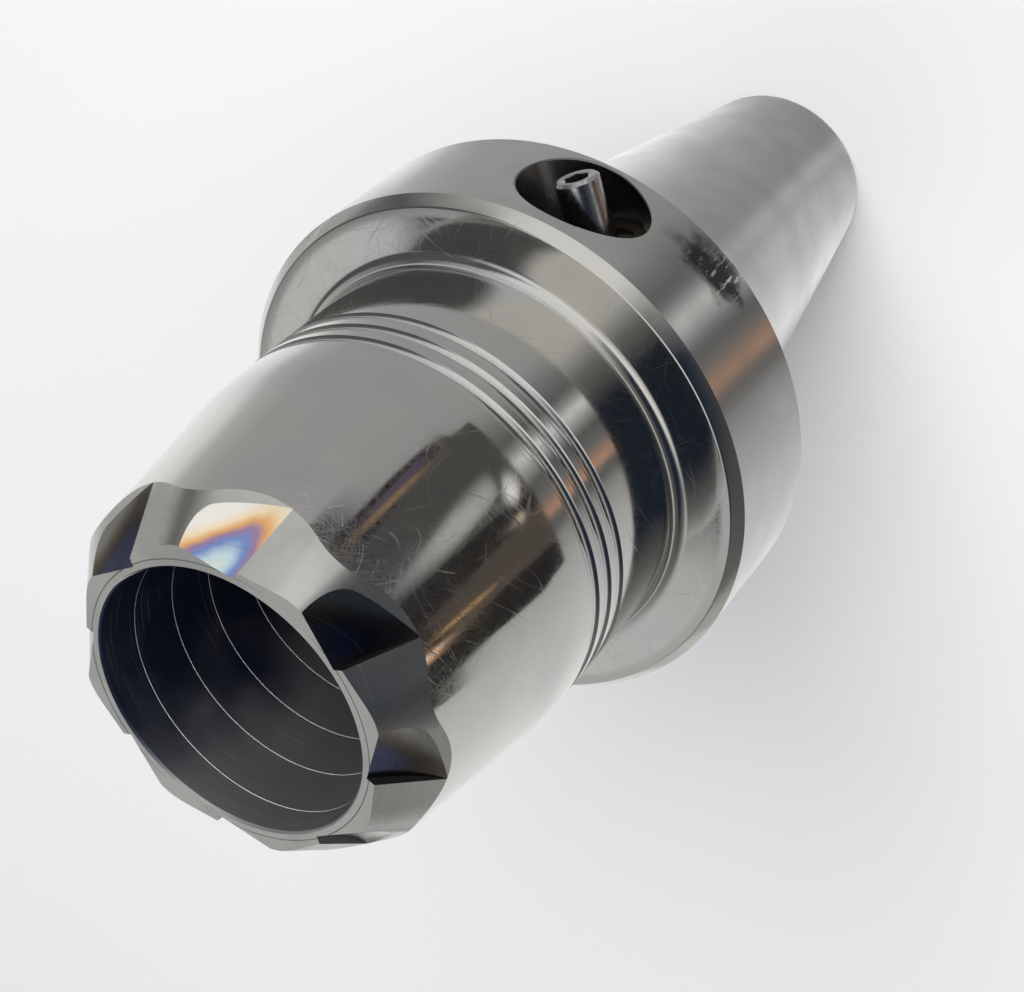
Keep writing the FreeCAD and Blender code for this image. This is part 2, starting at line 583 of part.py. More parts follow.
def make_worm_wheel():
    """Ring wheel with slanted gaps outside and the draw thread's bore inside."""
    wheel = turned("worm_wheel", (
        ("wheel_bore_radius", "hub_z"), ("hub_radius", "hub_z"), ("hub_radius", "rim_low_z"),
        ("wheel_tip_radius", "rim_low_z"), ("wheel_tip_radius", "rim_high_z"),
        ("wheel_bore_radius", "rim_high_z"),
    ))
    slant = size("worm_starts") * size("tooth_module") / (2 * size("worm_pitch_radius"))
    shift = -slant * size("wheel_face") / 2
    sketch = sketch_on(wheel, "tooth_gap", "XY_Plane")
    sketch.setExpression("AttachmentOffset.Base.z", "Sizes.rim_low_z")
    left, right = [
        [Vector(shift + side * across, -radius_down, 0) for across, radius_down in gap_flank()]
        for side in (-1, 1)
    ]
    for flank in (left, right):
        curve = Part.BSplineCurve()
        curve.interpolate(flank[1:])
        sketch.addGeometry(curve, False)
        sketch.addGeometry(Part.LineSegment(flank[0], flank[1]), False)
    for end in (0, -1):
        sketch.addGeometry(Part.LineSegment(left[end], right[end]), False)
    doc.recompute()
    blank_volume = wheel.Shape.Volume
    gap = wheel.newObject("PartDesign::Pocket", "tooth_gap_cut")
    gap.Profile = sketch
    gap.UseCustomVector = True
    gap.Direction = Vector(slant, 0, 1)
    gap.AlongSketchNormal = True
    gap.Reversed = False
    bind(gap, Length="Sizes.wheel_face")
    doc.recompute()
    if blank_volume - wheel.Shape.Volume < 1.0:
        gap.Reversed = True
        doc.recompute()
    teeth = wheel.newObject("PartDesign::PolarPattern", "tooth_gaps")
    teeth.Originals = [gap]
    teeth.Axis = (origin_item(wheel, "Z_Axis"), [""])
    teeth.Angle = FULL_TURN
    bind(teeth, Occurrences="Sizes.wheel_teeth")
    wheel.Tip = teeth
    doc.recompute()
    if wheel.Shape.Volume > blank_volume * 0.97:
        raise RuntimeError("the tooth gaps cut nothing")
    return wheel


def make_thrust_bearing():
    """Bronze washer under the wheel, and above it two races, a cage and needle rollers."""
    pieces = [
        ring("base_washer", "race_inner_radius", "race_outer_radius",
             "cavity_floor_z", "base_washer_z"),
        ring("turning_race", "race_inner_radius", "race_outer_radius",
             "low_race_z", "low_race_top_z"),
        ring("fixed_race", "race_inner_radius", "race_outer_radius",
             "high_race_z", "high_race_top_z"),
    ]
    disc = ring("cage_disc", "cage_inner_radius", "cage_outer_radius", "cage_low_z", "cage_high_z")
    count = int(size("roller_count"))
    rollers, windows = [], []
    for index in range(count):
        angle = math.radians(index * FULL_TURN / count)
        along = Vector(math.cos(angle), math.sin(angle), 0)
        for group, name, margin in ((rollers, "roller", 0.0), (windows, "cage_window", 0.06)):
            start = along * (size("roller_circle") - size("roller_length") / 2 - margin)
            group.append(rod(
                "%s_%d" % (name, index + 1), "Sizes.roller_radius + %g" % margin,
                "Sizes.roller_length + %g" % (2 * margin),
                start + Z_AXIS * size("roller_mid_z"), along))
    pieces.append(joined("Part::Compound", "needle_rollers", rollers))
    pieces.append(cut("roller_cage", disc, joined("Part::MultiFuse", "cage_windows", windows)))
    return pieces


# ---- retainer, draw sleeve and seal plug -----------------------------------------------------

def two_rods(name, radius, length, low_z, turn=0.0):
    """A pair of cylinders opposite each other on the guide pins' circle."""
    rods = []
    for index in range(2):
        angle = math.radians(turn + index * 180.0)
        centre = Vector(math.cos(angle), math.sin(angle), 0) * size("pin_circle")
        rods.append(rod("%s_%d" % (name, index + 1), radius, length, centre + Z_AXIS * low_z))
    return rods


def make_retainer():
    """Threaded ring that holds the bearing down, with an O-ring groove and spanner holes."""
    blank = turned("retainer_blank", (
        ("retainer_bore_radius", "retainer_z"), ("retainer_radius", "retainer_z"),
        ("retainer_radius", "retainer_top_z"), ("retainer_bore_radius", "retainer_top_z"),
        ("retainer_bore_radius", "seal_high_z"), ("seal_groove_radius", "seal_high_z"),
        ("seal_groove_radius", "seal_low_z"), ("retainer_bore_radius", "seal_low_z"),
    ))
    holes = two_rods("retainer_pin_hole", "Sizes.pin_radius", "Sizes.pin_embedded + 1",
                     size("pin_low_z"))
    holes += two_rods("spanner_hole", "Sizes.spanner_hole_radius", "Sizes.retainer_height",
                      size("pin_low_z"), turn=90.0)
    return cut("bearing_retainer", blank, joined("Part::Compound", "retainer_holes", holes))


def make_draw_sleeve():
    """Threaded stem in the wheel with a head that takes the collet's tail; it slides, not turns."""
    blank = turned("sleeve_blank", (
        ("sleeve_bore_radius", "tail_z"), ("sleeve_radius", "tail_z"),
        ("sleeve_radius", "tail_seal_low_z"), ("tail_groove_radius", "tail_seal_low_z"),
        ("tail_groove_radius", "tail_seal_high_z"), ("sleeve_radius", "tail_seal_high_z"),
        ("sleeve_radius", "head_z"), ("head_radius", "head_z"), ("head_radius", "head_chamfer_z"),
        ("head_chamfer_radius", "head_top_z"), ("collet_thread_radius", "head_top_z"),
        ("collet_thread_radius", "collet_thread_z"), ("sleeve_bore_radius", "collet_thread_z"),
    ))
    reach = size("pin_exposed") - size("draw_travel") - size("travel_margin")
    depth = reach + size("draw_travel") + size("travel_margin")
    holes = two_rods("guide_hole", "Sizes.pin_radius + Sizes.pin_clearance", "%g" % (depth + 1),
                     size("head_z") - 1)
    return cut("draw_sleeve", blank, joined("Part::Compound", "guide_holes", holes))


def make_guide_pins():
    """Two dowels in the retainer that keep the draw sleeve from turning."""
    pins = two_rods("guide_pin", "Sizes.pin_radius", "Sizes.pin_embedded + Sizes.pin_exposed",
                    size("pin_low_z"))
    return joined("Part::Compound", "guide_pins", pins)


def make_o_ring(label, circle, height):
    """A round-section seal ring about the Z axis."""
    item = doc.addObject("Part::Torus", label)
    bind(item, Radius1="Sizes." + circle, Radius2="Sizes.seal_section")
    item.Placement = Placement(Vector(0, 0, size(height)), Rotation())
    return item


def make_seal_plug():
    """Threaded plug that closes the centre bore below the mechanism."""
    blank = rod("plug_blank", "Sizes.plug_radius", "Sizes.plug_length",
                Vector(0, 0, size("plug_top_z") - size("plug_length")))
    socket = hexagon("plug_socket", "Sizes.plug_socket_width", "Sizes.plug_socket_depth",
                     Vector(0, 0, size("plug_top_z") - size("plug_socket_depth")))
    return cut("seal_plug", blank, socket)


def main():
    nodes = [make_chuck_body(), make_worm(), make_retaining_ring()]
    nodes += make_worm_supports()
    nodes.append(make_worm_wheel())
    nodes += make_thrust_bearing()
    nodes += [make_retainer(), make_draw_sleeve(), make_guide_pins(), make_seal_plug()]
    nodes.append(make_o_ring("retainer_o_ring", "seal_circle", "seal_mid_z"))
    nodes.append(make_o_ring("tail_o_ring", "tail_seal_circle", "tail_seal_z"))
    doc.recompute()
    for item in doc.Objects:
        if "Invalid" in item.State or "Error" in item.State:
            raise RuntimeError("%s failed to build" % item.Label)
    os.makedirs("parts", exist_ok=True)
    for node in nodes:
        shape = node.Shape
        if shape.isNull() or not shape.isValid() or not shape.Solids:
            raise RuntimeError("%s is not a valid solid" % node.Label)
        shape.exportStep(os.path.join("parts", node.Label + ".step"))
        print("%-20s solids %2d volume %10.1f" % (node.Label, len(shape.Solids), shape.Volume))


main()
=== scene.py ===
import json
import math
import bpy
import numpy as np
from mathutils import Matrix, Vector


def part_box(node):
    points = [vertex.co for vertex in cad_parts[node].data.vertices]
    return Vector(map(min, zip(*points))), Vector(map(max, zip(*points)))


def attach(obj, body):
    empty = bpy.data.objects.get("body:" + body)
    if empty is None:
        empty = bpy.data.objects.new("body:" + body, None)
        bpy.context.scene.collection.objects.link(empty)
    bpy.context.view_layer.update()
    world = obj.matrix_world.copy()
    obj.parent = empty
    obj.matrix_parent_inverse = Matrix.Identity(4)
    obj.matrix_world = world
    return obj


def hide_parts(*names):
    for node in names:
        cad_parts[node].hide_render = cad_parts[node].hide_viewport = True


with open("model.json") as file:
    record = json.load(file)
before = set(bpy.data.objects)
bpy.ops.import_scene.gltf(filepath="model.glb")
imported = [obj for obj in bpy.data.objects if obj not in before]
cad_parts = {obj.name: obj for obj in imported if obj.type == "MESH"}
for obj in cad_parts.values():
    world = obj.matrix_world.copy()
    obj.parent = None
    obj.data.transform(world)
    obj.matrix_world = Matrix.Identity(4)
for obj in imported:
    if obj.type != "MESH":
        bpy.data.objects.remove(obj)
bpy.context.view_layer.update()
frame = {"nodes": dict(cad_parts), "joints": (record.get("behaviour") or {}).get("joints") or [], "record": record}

MM = 0.001
FULL = 2 * math.pi
JOINTS = {joint["name"]: joint for joint in frame["joints"]}
MOUNTS = {mount["name"]: mount for mount in frame["record"]["mounts"]}

# Stations along the spindle axis and radii, in millimetres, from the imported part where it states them.
BODY_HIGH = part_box("chuck_body")[1]
NOSE_Z = BODY_HIGH.z / MM
FLANGE_R = BODY_HIGH.x / MM
SHANK_TOP = MOUNTS["shank_taper"]["dims"]["length_mm"]
GAUGE_R = MOUNTS["shank_taper"]["dims"]["r_mm"]
MOUTH_R = MOUNTS["collet_seat"]["dims"]["r_mm"]
DRAWBAR_R = MOUNTS["drawbar_thread"]["dims"]["r_mm"]
WORM_Y, WORM_Z = (JOINTS["worm_spin"]["pos_m"][axis] / MM for axis in (1, 2))
BUSH_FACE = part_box("worm_front_bush")[1].x / MM
KEY_BORE_R = (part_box("worm_front_bush")[1].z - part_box("worm_front_bush")[0].z) / 2 / MM + 0.03
FLANGE_WIDTH, BEVEL_HEIGHT, BEVEL_DROP, BACK_CHAMFER = 26.3, 1.95, 1.75, 0.4
FACE_Z = SHANK_TOP + FLANGE_WIDTH
BEVEL_Z = FACE_Z - BEVEL_HEIGHT
NECK_R, NECK_FILLET = 38.0, 2.4
GROOVE_FIRST, GROOVE_PITCH, GROOVE_WIDTH, GROOVE_DEPTH, GROOVES = 47.25, 4.15, 2.75, 0.8, 3
LONG_CONE_Z = NOSE_Z - 39.25
NOSE_CONE_Z = NOSE_Z - 7.0
NOSE_CONE_R = 33.4
NOSE_EDGE_R = 28.1
NOSE_BASE_Z = NOSE_Z - 12.0
FACE_LINE_R, FACE_LINE_SIZE = 25.6, 0.18
MOUTH_CHAMFER = 0.35
# Bores: the collet seat's small end, then each bore's radius and the height where it ends.
SEAT_END_R, SEAT_DEPTH = 20.1, 64.0
CAVITY_R, CAVITY_FLOOR = 19.7, 98.05
TAIL_R, TAIL_FLOOR = 12.4, 83.55
CENTRE_R, DRAWBAR_DEPTH = 7.0, 50.0
PILOT_R, PILOT_DEPTH = 12.6, 8.0
SHANK_CHAMFER = 1.0
TAPER_SLOPE = 7 / 48


# ---- surfaces --------------------------------------------------------------------------------

def corner_rounds(corners, steps=5):
    """A profile whose corners are rounded.

    Each corner is (radius, height, round). The corner is replaced by points of the curve
    (1-t)^2 A + 2t(1-t) C + t^2 B, where C is the corner and A, B lie 'round' before and after it.
    """
    points = []
    last = len(corners) - 1
    for index, (radius, height, amount) in enumerate(corners):
        here = np.array((radius, height))
        if amount == 0 or index in (0, last):
            points.append(here)
            continue
        before = np.array(corners[index - 1][:2]) - here
        after = np.array(corners[index + 1][:2]) - here
        start = here + before / np.linalg.norm(before) * amount
        end = here + after / np.linalg.norm(after) * amount
        t = np.linspace(0, 1, steps)[:, None]
        points.extend((1 - t) ** 2 * start + 2 * t * (1 - t) * here + t ** 2 * end)
    return np.array(points)


def densify(profile, spacing):
    """Points every 'spacing' along straight runs, so that long runs shade evenly."""
    parts = []
    for start, end in zip(profile[:-1], profile[1:]):
        count = max(1, int(np.linalg.norm(end - start) / spacing))
        parts.append(start + (end - start) * np.linspace(0, 1, count, endpoint=False)[:, None])
    parts.append(profile[-1:])
    return np.concatenate(parts)


def grid_faces(rows, columns, closed=True):
    """Quads of a grid of rows by columns, numbered row by row; closed joins the last column to the first."""
    row = np.arange(rows - 1)[:, None]
    column = np.arange(columns if closed else columns - 1)[None, :]
    right = (column + 1) % columns
    quads = np.stack([
        row * columns + column, row * columns + right,
        (row + 1) * columns + right, (row + 1) * columns + column,
    ], axis=-1)
    return quads.reshape(-1, 4)


def mesh_piece(name, points, quads, materials, material_rows=None, along=None, marks=None, smooth_angle=28.0):
    """A mesh object from points in millimetres and quads, shaded smooth except over sharp edges."""
    mesh = bpy.data.meshes.new(name)
    mesh.from_pydata((points * MM).tolist(), [], quads.tolist())
    for material in materials:
        mesh.materials.append(material)
    if material_rows is not None:
        mesh.polygons.foreach_set("material_index", material_rows.astype(np.int32))
    if along is not None:
        layer = mesh.attributes.new("along", "FLOAT", "POINT")
        layer.data.foreach_set("value", (along * MM).astype(np.float32))
    for label, values in (marks or {}).items():
        layer = mesh.attributes.new(label, "FLOAT", "POINT")
        layer.data.foreach_set("value", values.astype(np.float32))
    mesh.update()
    mesh.shade_smooth()
    mesh.set_sharp_from_angle(angle=math.radians(smooth_angle))
    piece = bpy.data.objects.new(name, mesh)
    bpy.context.scene.collection.objects.link(piece)
    return piece


def run_length(profile):
    """Distance travelled along a profile, point by point."""
    steps = np.linalg.norm(np.diff(profile, axis=0), axis=1)
    return np.concatenate([[0.0], np.cumsum(steps)])


def turned_piece(name, profile, materials, zones=None, columns=384):
    """A profile of (radius, height) turned about the Z axis: x = r cos a, y = r sin a, z = h."""
    angle = np.arange(columns) * FULL / columns
    radius, height = profile[:, :1], profile[:, 1:]
    points = np.stack([
        radius * np.cos(angle), radius * np.sin(angle), height + 0 * angle], axis=-1).reshape(-1, 3)
    along = np.repeat(run_length(profile), columns)
    rows = None
    if zones is not None:
        rows = np.repeat(np.asarray(zones), columns)
    return mesh_piece(name, points, grid_faces(len(profile), columns), materials, rows, along)


# ---- nose: flats and notches -------------------------------------------------------------------

NOTCHES = 8
SECTOR = FULL / NOTCHES
WALL_ANGLE = math.radians(-27.4)
FLAT_LEAN = math.tan(math.radians(36.0))
FLAT_START = 26.65
FLOOR_START, FLOOR_END, FLOOR_LENGTH = 25.06, 33.5, 9.45
FLOOR_TILT = math.radians(6.5)
WHEEL_R = 45.0
WALL_SHIFT = FLOOR_START * math.sin(FLOOR_TILT)
WALL_LEAN = math.radians(19.8)
WALL_FOOT = FLOOR_START * math.sin(WALL_LEAN)
CORNER_BLEND = 0.7
LEAST_TURN = 1e-4


def wheel_centre():
    """Distance and height of the notch cutter's centre, from both ends of the notch floor."""
    chord = math.hypot(FLOOR_END - FLOOR_START, FLOOR_LENGTH)
    lift = math.sqrt(WHEEL_R ** 2 - (chord / 2) ** 2)
    distance = (FLOOR_START + FLOOR_END) / 2 + lift * FLOOR_LENGTH / chord
    height = NOSE_Z - FLOOR_LENGTH / 2 + lift * (FLOOR_END - FLOOR_START) / chord
    return distance, height


WHEEL_DISTANCE, WHEEL_HEIGHT = wheel_centre()


def long_cone_radius(height):
    """Radius of the long cone at a height."""
    return NOSE_CONE_R + (NOSE_CONE_Z - height) * (NECK_R - NOSE_CONE_R) / (NOSE_CONE_Z - LONG_CONE_Z)


def cone_radius(height):
    """Radius of the short nose cone at a height."""
    return NOSE_EDGE_R + (NOSE_Z - height) * (NOSE_CONE_R - NOSE_EDGE_R) / (NOSE_Z - NOSE_CONE_Z)


def flat_distance(height):
    """Distance from the axis to a flat at a height."""
    return FLAT_START + (NOSE_Z - height) * FLAT_LEAN


def floor_distance(height):
    """Distance from the axis to a notch floor: the rim of the cutter's circle."""
    return WHEEL_DISTANCE - np.sqrt(WHEEL_R ** 2 - (height - WHEEL_HEIGHT) ** 2)


def unnotched_radius(height, angle):
    """Nose radius without the notches: the lesser of cone and flat, eased into each other at their corner.

    angle is measured from the nearest wall at or before it. Where cone and flat differ by less than
    the blend b, b h h / 4 is taken off the lesser, with h = 1 - difference / b.
    """
    to_flat = np.minimum(np.abs(angle), np.abs(angle - SECTOR))
    cone, flat = cone_radius(height), flat_distance(height) / np.cos(to_flat)
    near = np.clip(1 - np.abs(cone - flat) / CORNER_BLEND, 0, None)
    return np.minimum(cone, flat) - CORNER_BLEND * near ** 2 / 4


def wall_radius(angle):
    """Radius of the notch wall, a plane along Z, at an angle from its foot."""
    return WALL_FOOT / np.sin(np.clip(angle + WALL_LEAN, LEAST_TURN, None))


def nose_radius(height, angle):
    """Nose radius with the notches: a point of the floor or of the wall, whichever is further out."""
    notch = np.maximum(floor_distance(height) / np.cos(angle + FLOOR_TILT), wall_radius(angle))
    return np.minimum(unnotched_radius(height, angle), notch)


def bisect(function, low, high, steps=40):
    """Where a rising function crosses zero between two arrays of bounds."""
    for _ in range(steps):
        middle = (low + high) / 2
        above = function(middle) > 0
        high = np.where(above, middle, high)
        low = np.where(above, low, middle)
    return (low + high) / 2


def sector_breaks(height):
    """Angles that bound the faces of one sector at a height, from wall top to the next wall top."""
    far = np.full_like(height, SECTOR * 0.6)
    floor = floor_distance(height)
    low = np.full_like(height, 1e-3 - WALL_LEAN)
    wall_foot = bisect(lambda a: floor / np.cos(a + FLOOR_TILT) - wall_radius(a), low, low * 0 + 0.1)
    wall_top = bisect(lambda a: unnotched_radius(height, np.abs(a)) - wall_radius(a), low, low * 0 + 0.1)
    wall_top = np.minimum(wall_top, wall_foot)
    floor_end = bisect(
        lambda a: floor / np.cos(a + FLOOR_TILT) - unnotched_radius(height, a), wall_foot, far)
    corner = np.arccos(np.clip(flat_distance(height) / cone_radius(height), -1, 1))
    corner = np.minimum(corner, SECTOR / 2)
    floor_end = np.maximum(floor_end, wall_foot)
    band_start = np.maximum(corner, floor_end)
    band_end = np.maximum(SECTOR - corner, band_start)
    return [wall_top, wall_foot, floor_end, band_start, band_end, wall_top + SECTOR]


# Columns of one sector for its wall, notch floor, flat, cone and the next flat.
SPANS = (6, 30, 16, 12, 24)


def sector_angles(height):
    """Angles of one sector's columns at a height: each face gets its own even share of columns."""
    breaks = sector_breaks(height)
    columns = []
    for count, start, end in zip(SPANS, breaks[:-1], breaks[1:]):
        share = np.linspace(0, 1, count, endpoint=False)
        columns.append(start[..., None] + (end - start)[..., None] * share)
    return np.concatenate(columns, axis=-1)


def nose_rows(rows=64):
    """Angle and height of every grid point of one sector, from the long cone up to the nose face.

    A column's foot is where the nose surface meets the long cone. Foot and angle depend on each
    other, so they are found together by repeating both steps.
    """
    share = np.linspace(0, 1, rows)[:, None]
    foot = np.full((rows, sum(SPANS)), NOSE_CONE_Z)
    for _ in range(12):
        height = foot + (NOSE_Z - foot) * share
        angle = np.stack([
            sector_angles(height[:, column])[:, column] for column in range(height.shape[1])
        ], axis=1)
        low = np.full_like(foot, NOSE_BASE_Z + 0.3)
        foot = bisect(lambda z: long_cone_radius(z) - nose_radius(z, angle), low, low * 0 + NOSE_Z)
    return angle, foot + (NOSE_Z - foot) * share


def make_nose(materials):
    """The nose as one grid: long cone, flats, notches, nose face with its fine line, mouth edge."""
    angle, height = nose_rows()
    radius = nose_radius(height, angle)
    foot_angle, foot_z = angle[:1], height[:1]
    share = np.linspace(0, 1, 5)[:-1, None]
    below_z = NOSE_BASE_Z + (foot_z - NOSE_BASE_Z) * share
    face_r = [radius[-1:] * 0 + r for r in (
        FACE_LINE_R + 0.1, FACE_LINE_R, FACE_LINE_R - 0.1, FACE_LINE_R - 0.3, MOUTH_R + MOUTH_CHAMFER)]
    face_drop = (0.0, FACE_LINE_SIZE, 0.0, 0.0, 0.0)
    face_radii = np.concatenate([np.minimum(r, radius[-1:]) for r in face_r])
    face_z = np.stack([
        NOSE_Z - np.where(r[0] < radius[-1], drop, 0.0) for r, drop in zip(face_r, face_drop)])
    all_angle = np.concatenate([foot_angle + 0 * below_z, angle] + [angle[-1:]] * len(face_r))
    all_z = np.concatenate([below_z, height, face_z])
    all_r = np.concatenate([long_cone_radius(below_z), radius, face_radii])
    turns = WALL_ANGLE + np.arange(NOTCHES) * SECTOR
    full_angle = (turns[None, :, None] + all_angle[:, None, :]).reshape(len(all_angle), -1)
    full_r, full_z = (np.tile(value, (1, NOTCHES)) for value in (all_r, all_z))
    points = np.stack([full_r * np.cos(full_angle), full_r * np.sin(full_angle), full_z], axis=-1)
    rows, columns = full_r.shape
    face_of_column = np.tile(np.repeat(np.arange(len(SPANS)), SPANS), NOTCHES)
    slot_of_face = np.array([4, 2, 1, 1, 1])
    zone = np.zeros((rows - 1, columns), int)
    zone[len(below_z):len(below_z) + len(height) - 1] = slot_of_face[face_of_column]
    zone[len(below_z) + len(height) - 1:] = 3
    quads = grid_faces(rows, columns)
    # Heat mark of each notch: how far a point lies from a line that leans from the middle of the
    # front edge towards the wall, in shares of the mark's size, growing with depth.
    depth = (NOSE_Z - full_z) / FLOOR_LENGTH
    across = (full_r * np.sin(np.tile(all_angle, (1, NOTCHES)) + FLOOR_TILT) - WALL_SHIFT) / 10.0
    middle = 0.36 - 0.36 * depth
    width = np.where(across > middle, 0.62 - 0.42 * np.clip(depth, 0, 1), 0.42)
    heat = np.hypot(depth / 0.80, (across - middle) / width)
    along = np.hypot(full_r - NOSE_EDGE_R, full_z - NOSE_Z) * np.sign(NOSE_EDGE_R - full_r + 1e-6)
    flat_points = points.reshape(-1, 3)
    return mesh_piece("nose", flat_points, quads, materials, zone.reshape(-1), along.reshape(-1),
                      {"heat_mark": heat.reshape(-1)}, smooth_angle=12.0)


# ---- neck, flange, shank -----------------------------------------------------------------------

def grooved_neck(lip=0.35, bend_reach=4.0):
    """Profile from the flange's bevel up to the nose, with fillet, grip grooves and long cone.

    The fillet is a quarter circle and each groove half an ellipse. The crease under the long cone
    is the curve (1-s)^2 A + 2s(1-s) C + s^2 B, with C on the crease and A, B bend_reach from it.
    """
    fillet_r = NECK_R + NECK_FILLET
    start = corner_rounds([
        (FLANGE_R, BEVEL_Z, 0), (FLANGE_R - BEVEL_DROP, FACE_Z, 0.25), (fillet_r, FACE_Z, 0)])
    turn = np.linspace(0, math.pi / 2, 12)[1:]
    parts = [start, np.stack([
        fillet_r - NECK_FILLET * np.sin(turn), FACE_Z + NECK_FILLET - NECK_FILLET * np.cos(turn)], axis=1)]
    bend, half = np.linspace(-1, 1, 15), GROOVE_WIDTH / 2
    for index in reversed(range(GROOVES)):
        middle = NOSE_Z - GROOVE_FIRST - index * GROOVE_PITCH
        depth = GROOVE_DEPTH * np.sqrt(np.clip(1 - bend ** 2, 0, 1))
        parts += [
            np.array([[NECK_R, middle - half - lip]]),
            np.stack([NECK_R - depth, middle + bend * half], axis=1),
            np.array([[NECK_R, middle + half + lip]])]
    crease, up = np.array([[NECK_R, LONG_CONE_Z]]), np.array([[0.0, 1.0]])
    lean = np.array([[NOSE_CONE_R - NECK_R, NOSE_CONE_Z - LONG_CONE_Z]])
    lean = lean / np.linalg.norm(lean)
    s = (np.linspace(-1, 1, 9)[:, None] + 1) / 2
    below, above = crease - up * bend_reach, crease + lean * bend_reach
    soft = (1 - s) ** 2 * below + 2 * s * (1 - s) * crease + s ** 2 * above
    return np.concatenate(parts + [soft, np.array([[long_cone_radius(NOSE_BASE_Z), NOSE_BASE_Z]])])


def inside_and_shank():
    """Profile from the mouth down the bores, round the small end and up the shank to the flange."""
    end_r = GAUGE_R - SHANK_TOP * TAPER_SLOPE
    seat_floor = NOSE_Z - SEAT_DEPTH
    return [
        (MOUTH_R + MOUTH_CHAMFER, NOSE_Z, 0), (MOUTH_R, NOSE_Z - MOUTH_CHAMFER, 0.15),
        (SEAT_END_R, seat_floor, 0), (CAVITY_R, seat_floor, 0), (CAVITY_R, CAVITY_FLOOR, 0),
        (TAIL_R, CAVITY_FLOOR, 0), (TAIL_R, TAIL_FLOOR, 0), (CENTRE_R, TAIL_FLOOR, 0),
        (CENTRE_R, DRAWBAR_DEPTH, 0), (DRAWBAR_R, DRAWBAR_DEPTH, 0), (DRAWBAR_R, PILOT_DEPTH, 0),
        (PILOT_R, PILOT_DEPTH, 0), (PILOT_R, 0.0, 0.3), (end_r - SHANK_CHAMFER, 0.0, 0.2),
        (end_r, SHANK_CHAMFER, 0.25), (GAUGE_R, SHANK_TOP, 0),
        (FLANGE_R - BACK_CHAMFER, SHANK_TOP, 0.1), (FLANGE_R, SHANK_TOP + BACK_CHAMFER, 0),
    ]


def make_flange_rim(materials):
    """The flange's outside with the key bore.

    A patch of the cylinder is drawn between its rectangular border and the curve where the key
    bore opens; the rest of the cylinder is a plain grid with the same heights.
    """
    low, high = SHANK_TOP + BACK_CHAMFER, BEVEL_Z
    left, right = math.radians(-54.0), math.radians(-11.0)
    side, lid = 32, 64
    upward = np.linspace(low, high, side, endpoint=False)
    over = np.linspace(right, left, lid, endpoint=False)
    border_a = np.concatenate([
        np.full(side, right), over, np.full(side, left), over[::-1] + (left - right) / lid])
    border_z = np.concatenate([
        upward, np.full(lid, high), upward[::-1] + (high - low) / side, np.full(lid, low)])
    centre_a = math.asin(WORM_Y / FLANGE_R)
    turn = np.unwrap(np.arctan2(border_z - WORM_Z, FLANGE_R * (border_a - centre_a)))
    edge_round, outer_rings, bush_overlap = 0.25, 12, 4.0
    rings = []
    for share in np.linspace(0, 1, outer_rings):
        rim_r = KEY_BORE_R + edge_round
        rim_y = WORM_Y + rim_r * np.cos(turn)
        rim_a = np.arcsin(rim_y / FLANGE_R)
        rim_z = WORM_Z + rim_r * np.sin(turn)
        a = border_a + (rim_a - border_a) * share
        z = border_z + (rim_z - border_z) * share
        rings.append(np.stack([FLANGE_R * np.cos(a), FLANGE_R * np.sin(a), z], axis=-1))
    mouth = rings[-1]
    for fade in (0.35, 0.7, 1.0):
        y = WORM_Y + (KEY_BORE_R + edge_round * (1 - fade)) * np.cos(turn)
        z = WORM_Z + (KEY_BORE_R + edge_round * (1 - fade)) * np.sin(turn)
        x = mouth[:, 0] - edge_round * fade ** 2
        rings.append(np.stack([x, y, z], axis=-1))
    last_x = rings[-1][:, 0]
    y, z = WORM_Y + KEY_BORE_R * np.cos(turn), WORM_Z + KEY_BORE_R * np.sin(turn)
    for share in np.linspace(0, 1, 10)[1:]:
        rings.append(np.stack([last_x + (BUSH_FACE - bush_overlap - last_x) * share, y, z], axis=-1))
    patch = np.array(rings)
    patch_rows, patch_columns = patch.shape[:2]
    patch_quads = grid_faces(patch_rows, patch_columns)
    patch_zone = np.repeat(np.where(np.arange(patch_rows - 1) < outer_rings - 1, 0, 1), patch_columns)
    heights = np.linspace(low, high, side + 1)
    angles = np.linspace(right, left + FULL, 321)
    plain = np.stack([
        FLANGE_R * np.cos(angles) + 0 * heights[:, None],
        FLANGE_R * np.sin(angles) + 0 * heights[:, None],
        heights[:, None] + 0 * angles], axis=-1)
    plain_quads = grid_faces(side + 1, len(angles), closed=False) + patch_rows * patch_columns
    points = np.concatenate([patch.reshape(-1, 3), plain.reshape(-1, 3)])
    zone = np.concatenate([patch_zone, np.zeros(len(plain_quads), int)])
    quads = np.concatenate([patch_quads, plain_quads])
    piece = mesh_piece("flange_rim", points, quads, materials, zone, points[:, 2])
    weld = piece.modifiers.new("weld", "WELD")
    weld.merge_threshold = 1e-5
    return piece


# ---- materials ---------------------------------------------------------------------------------

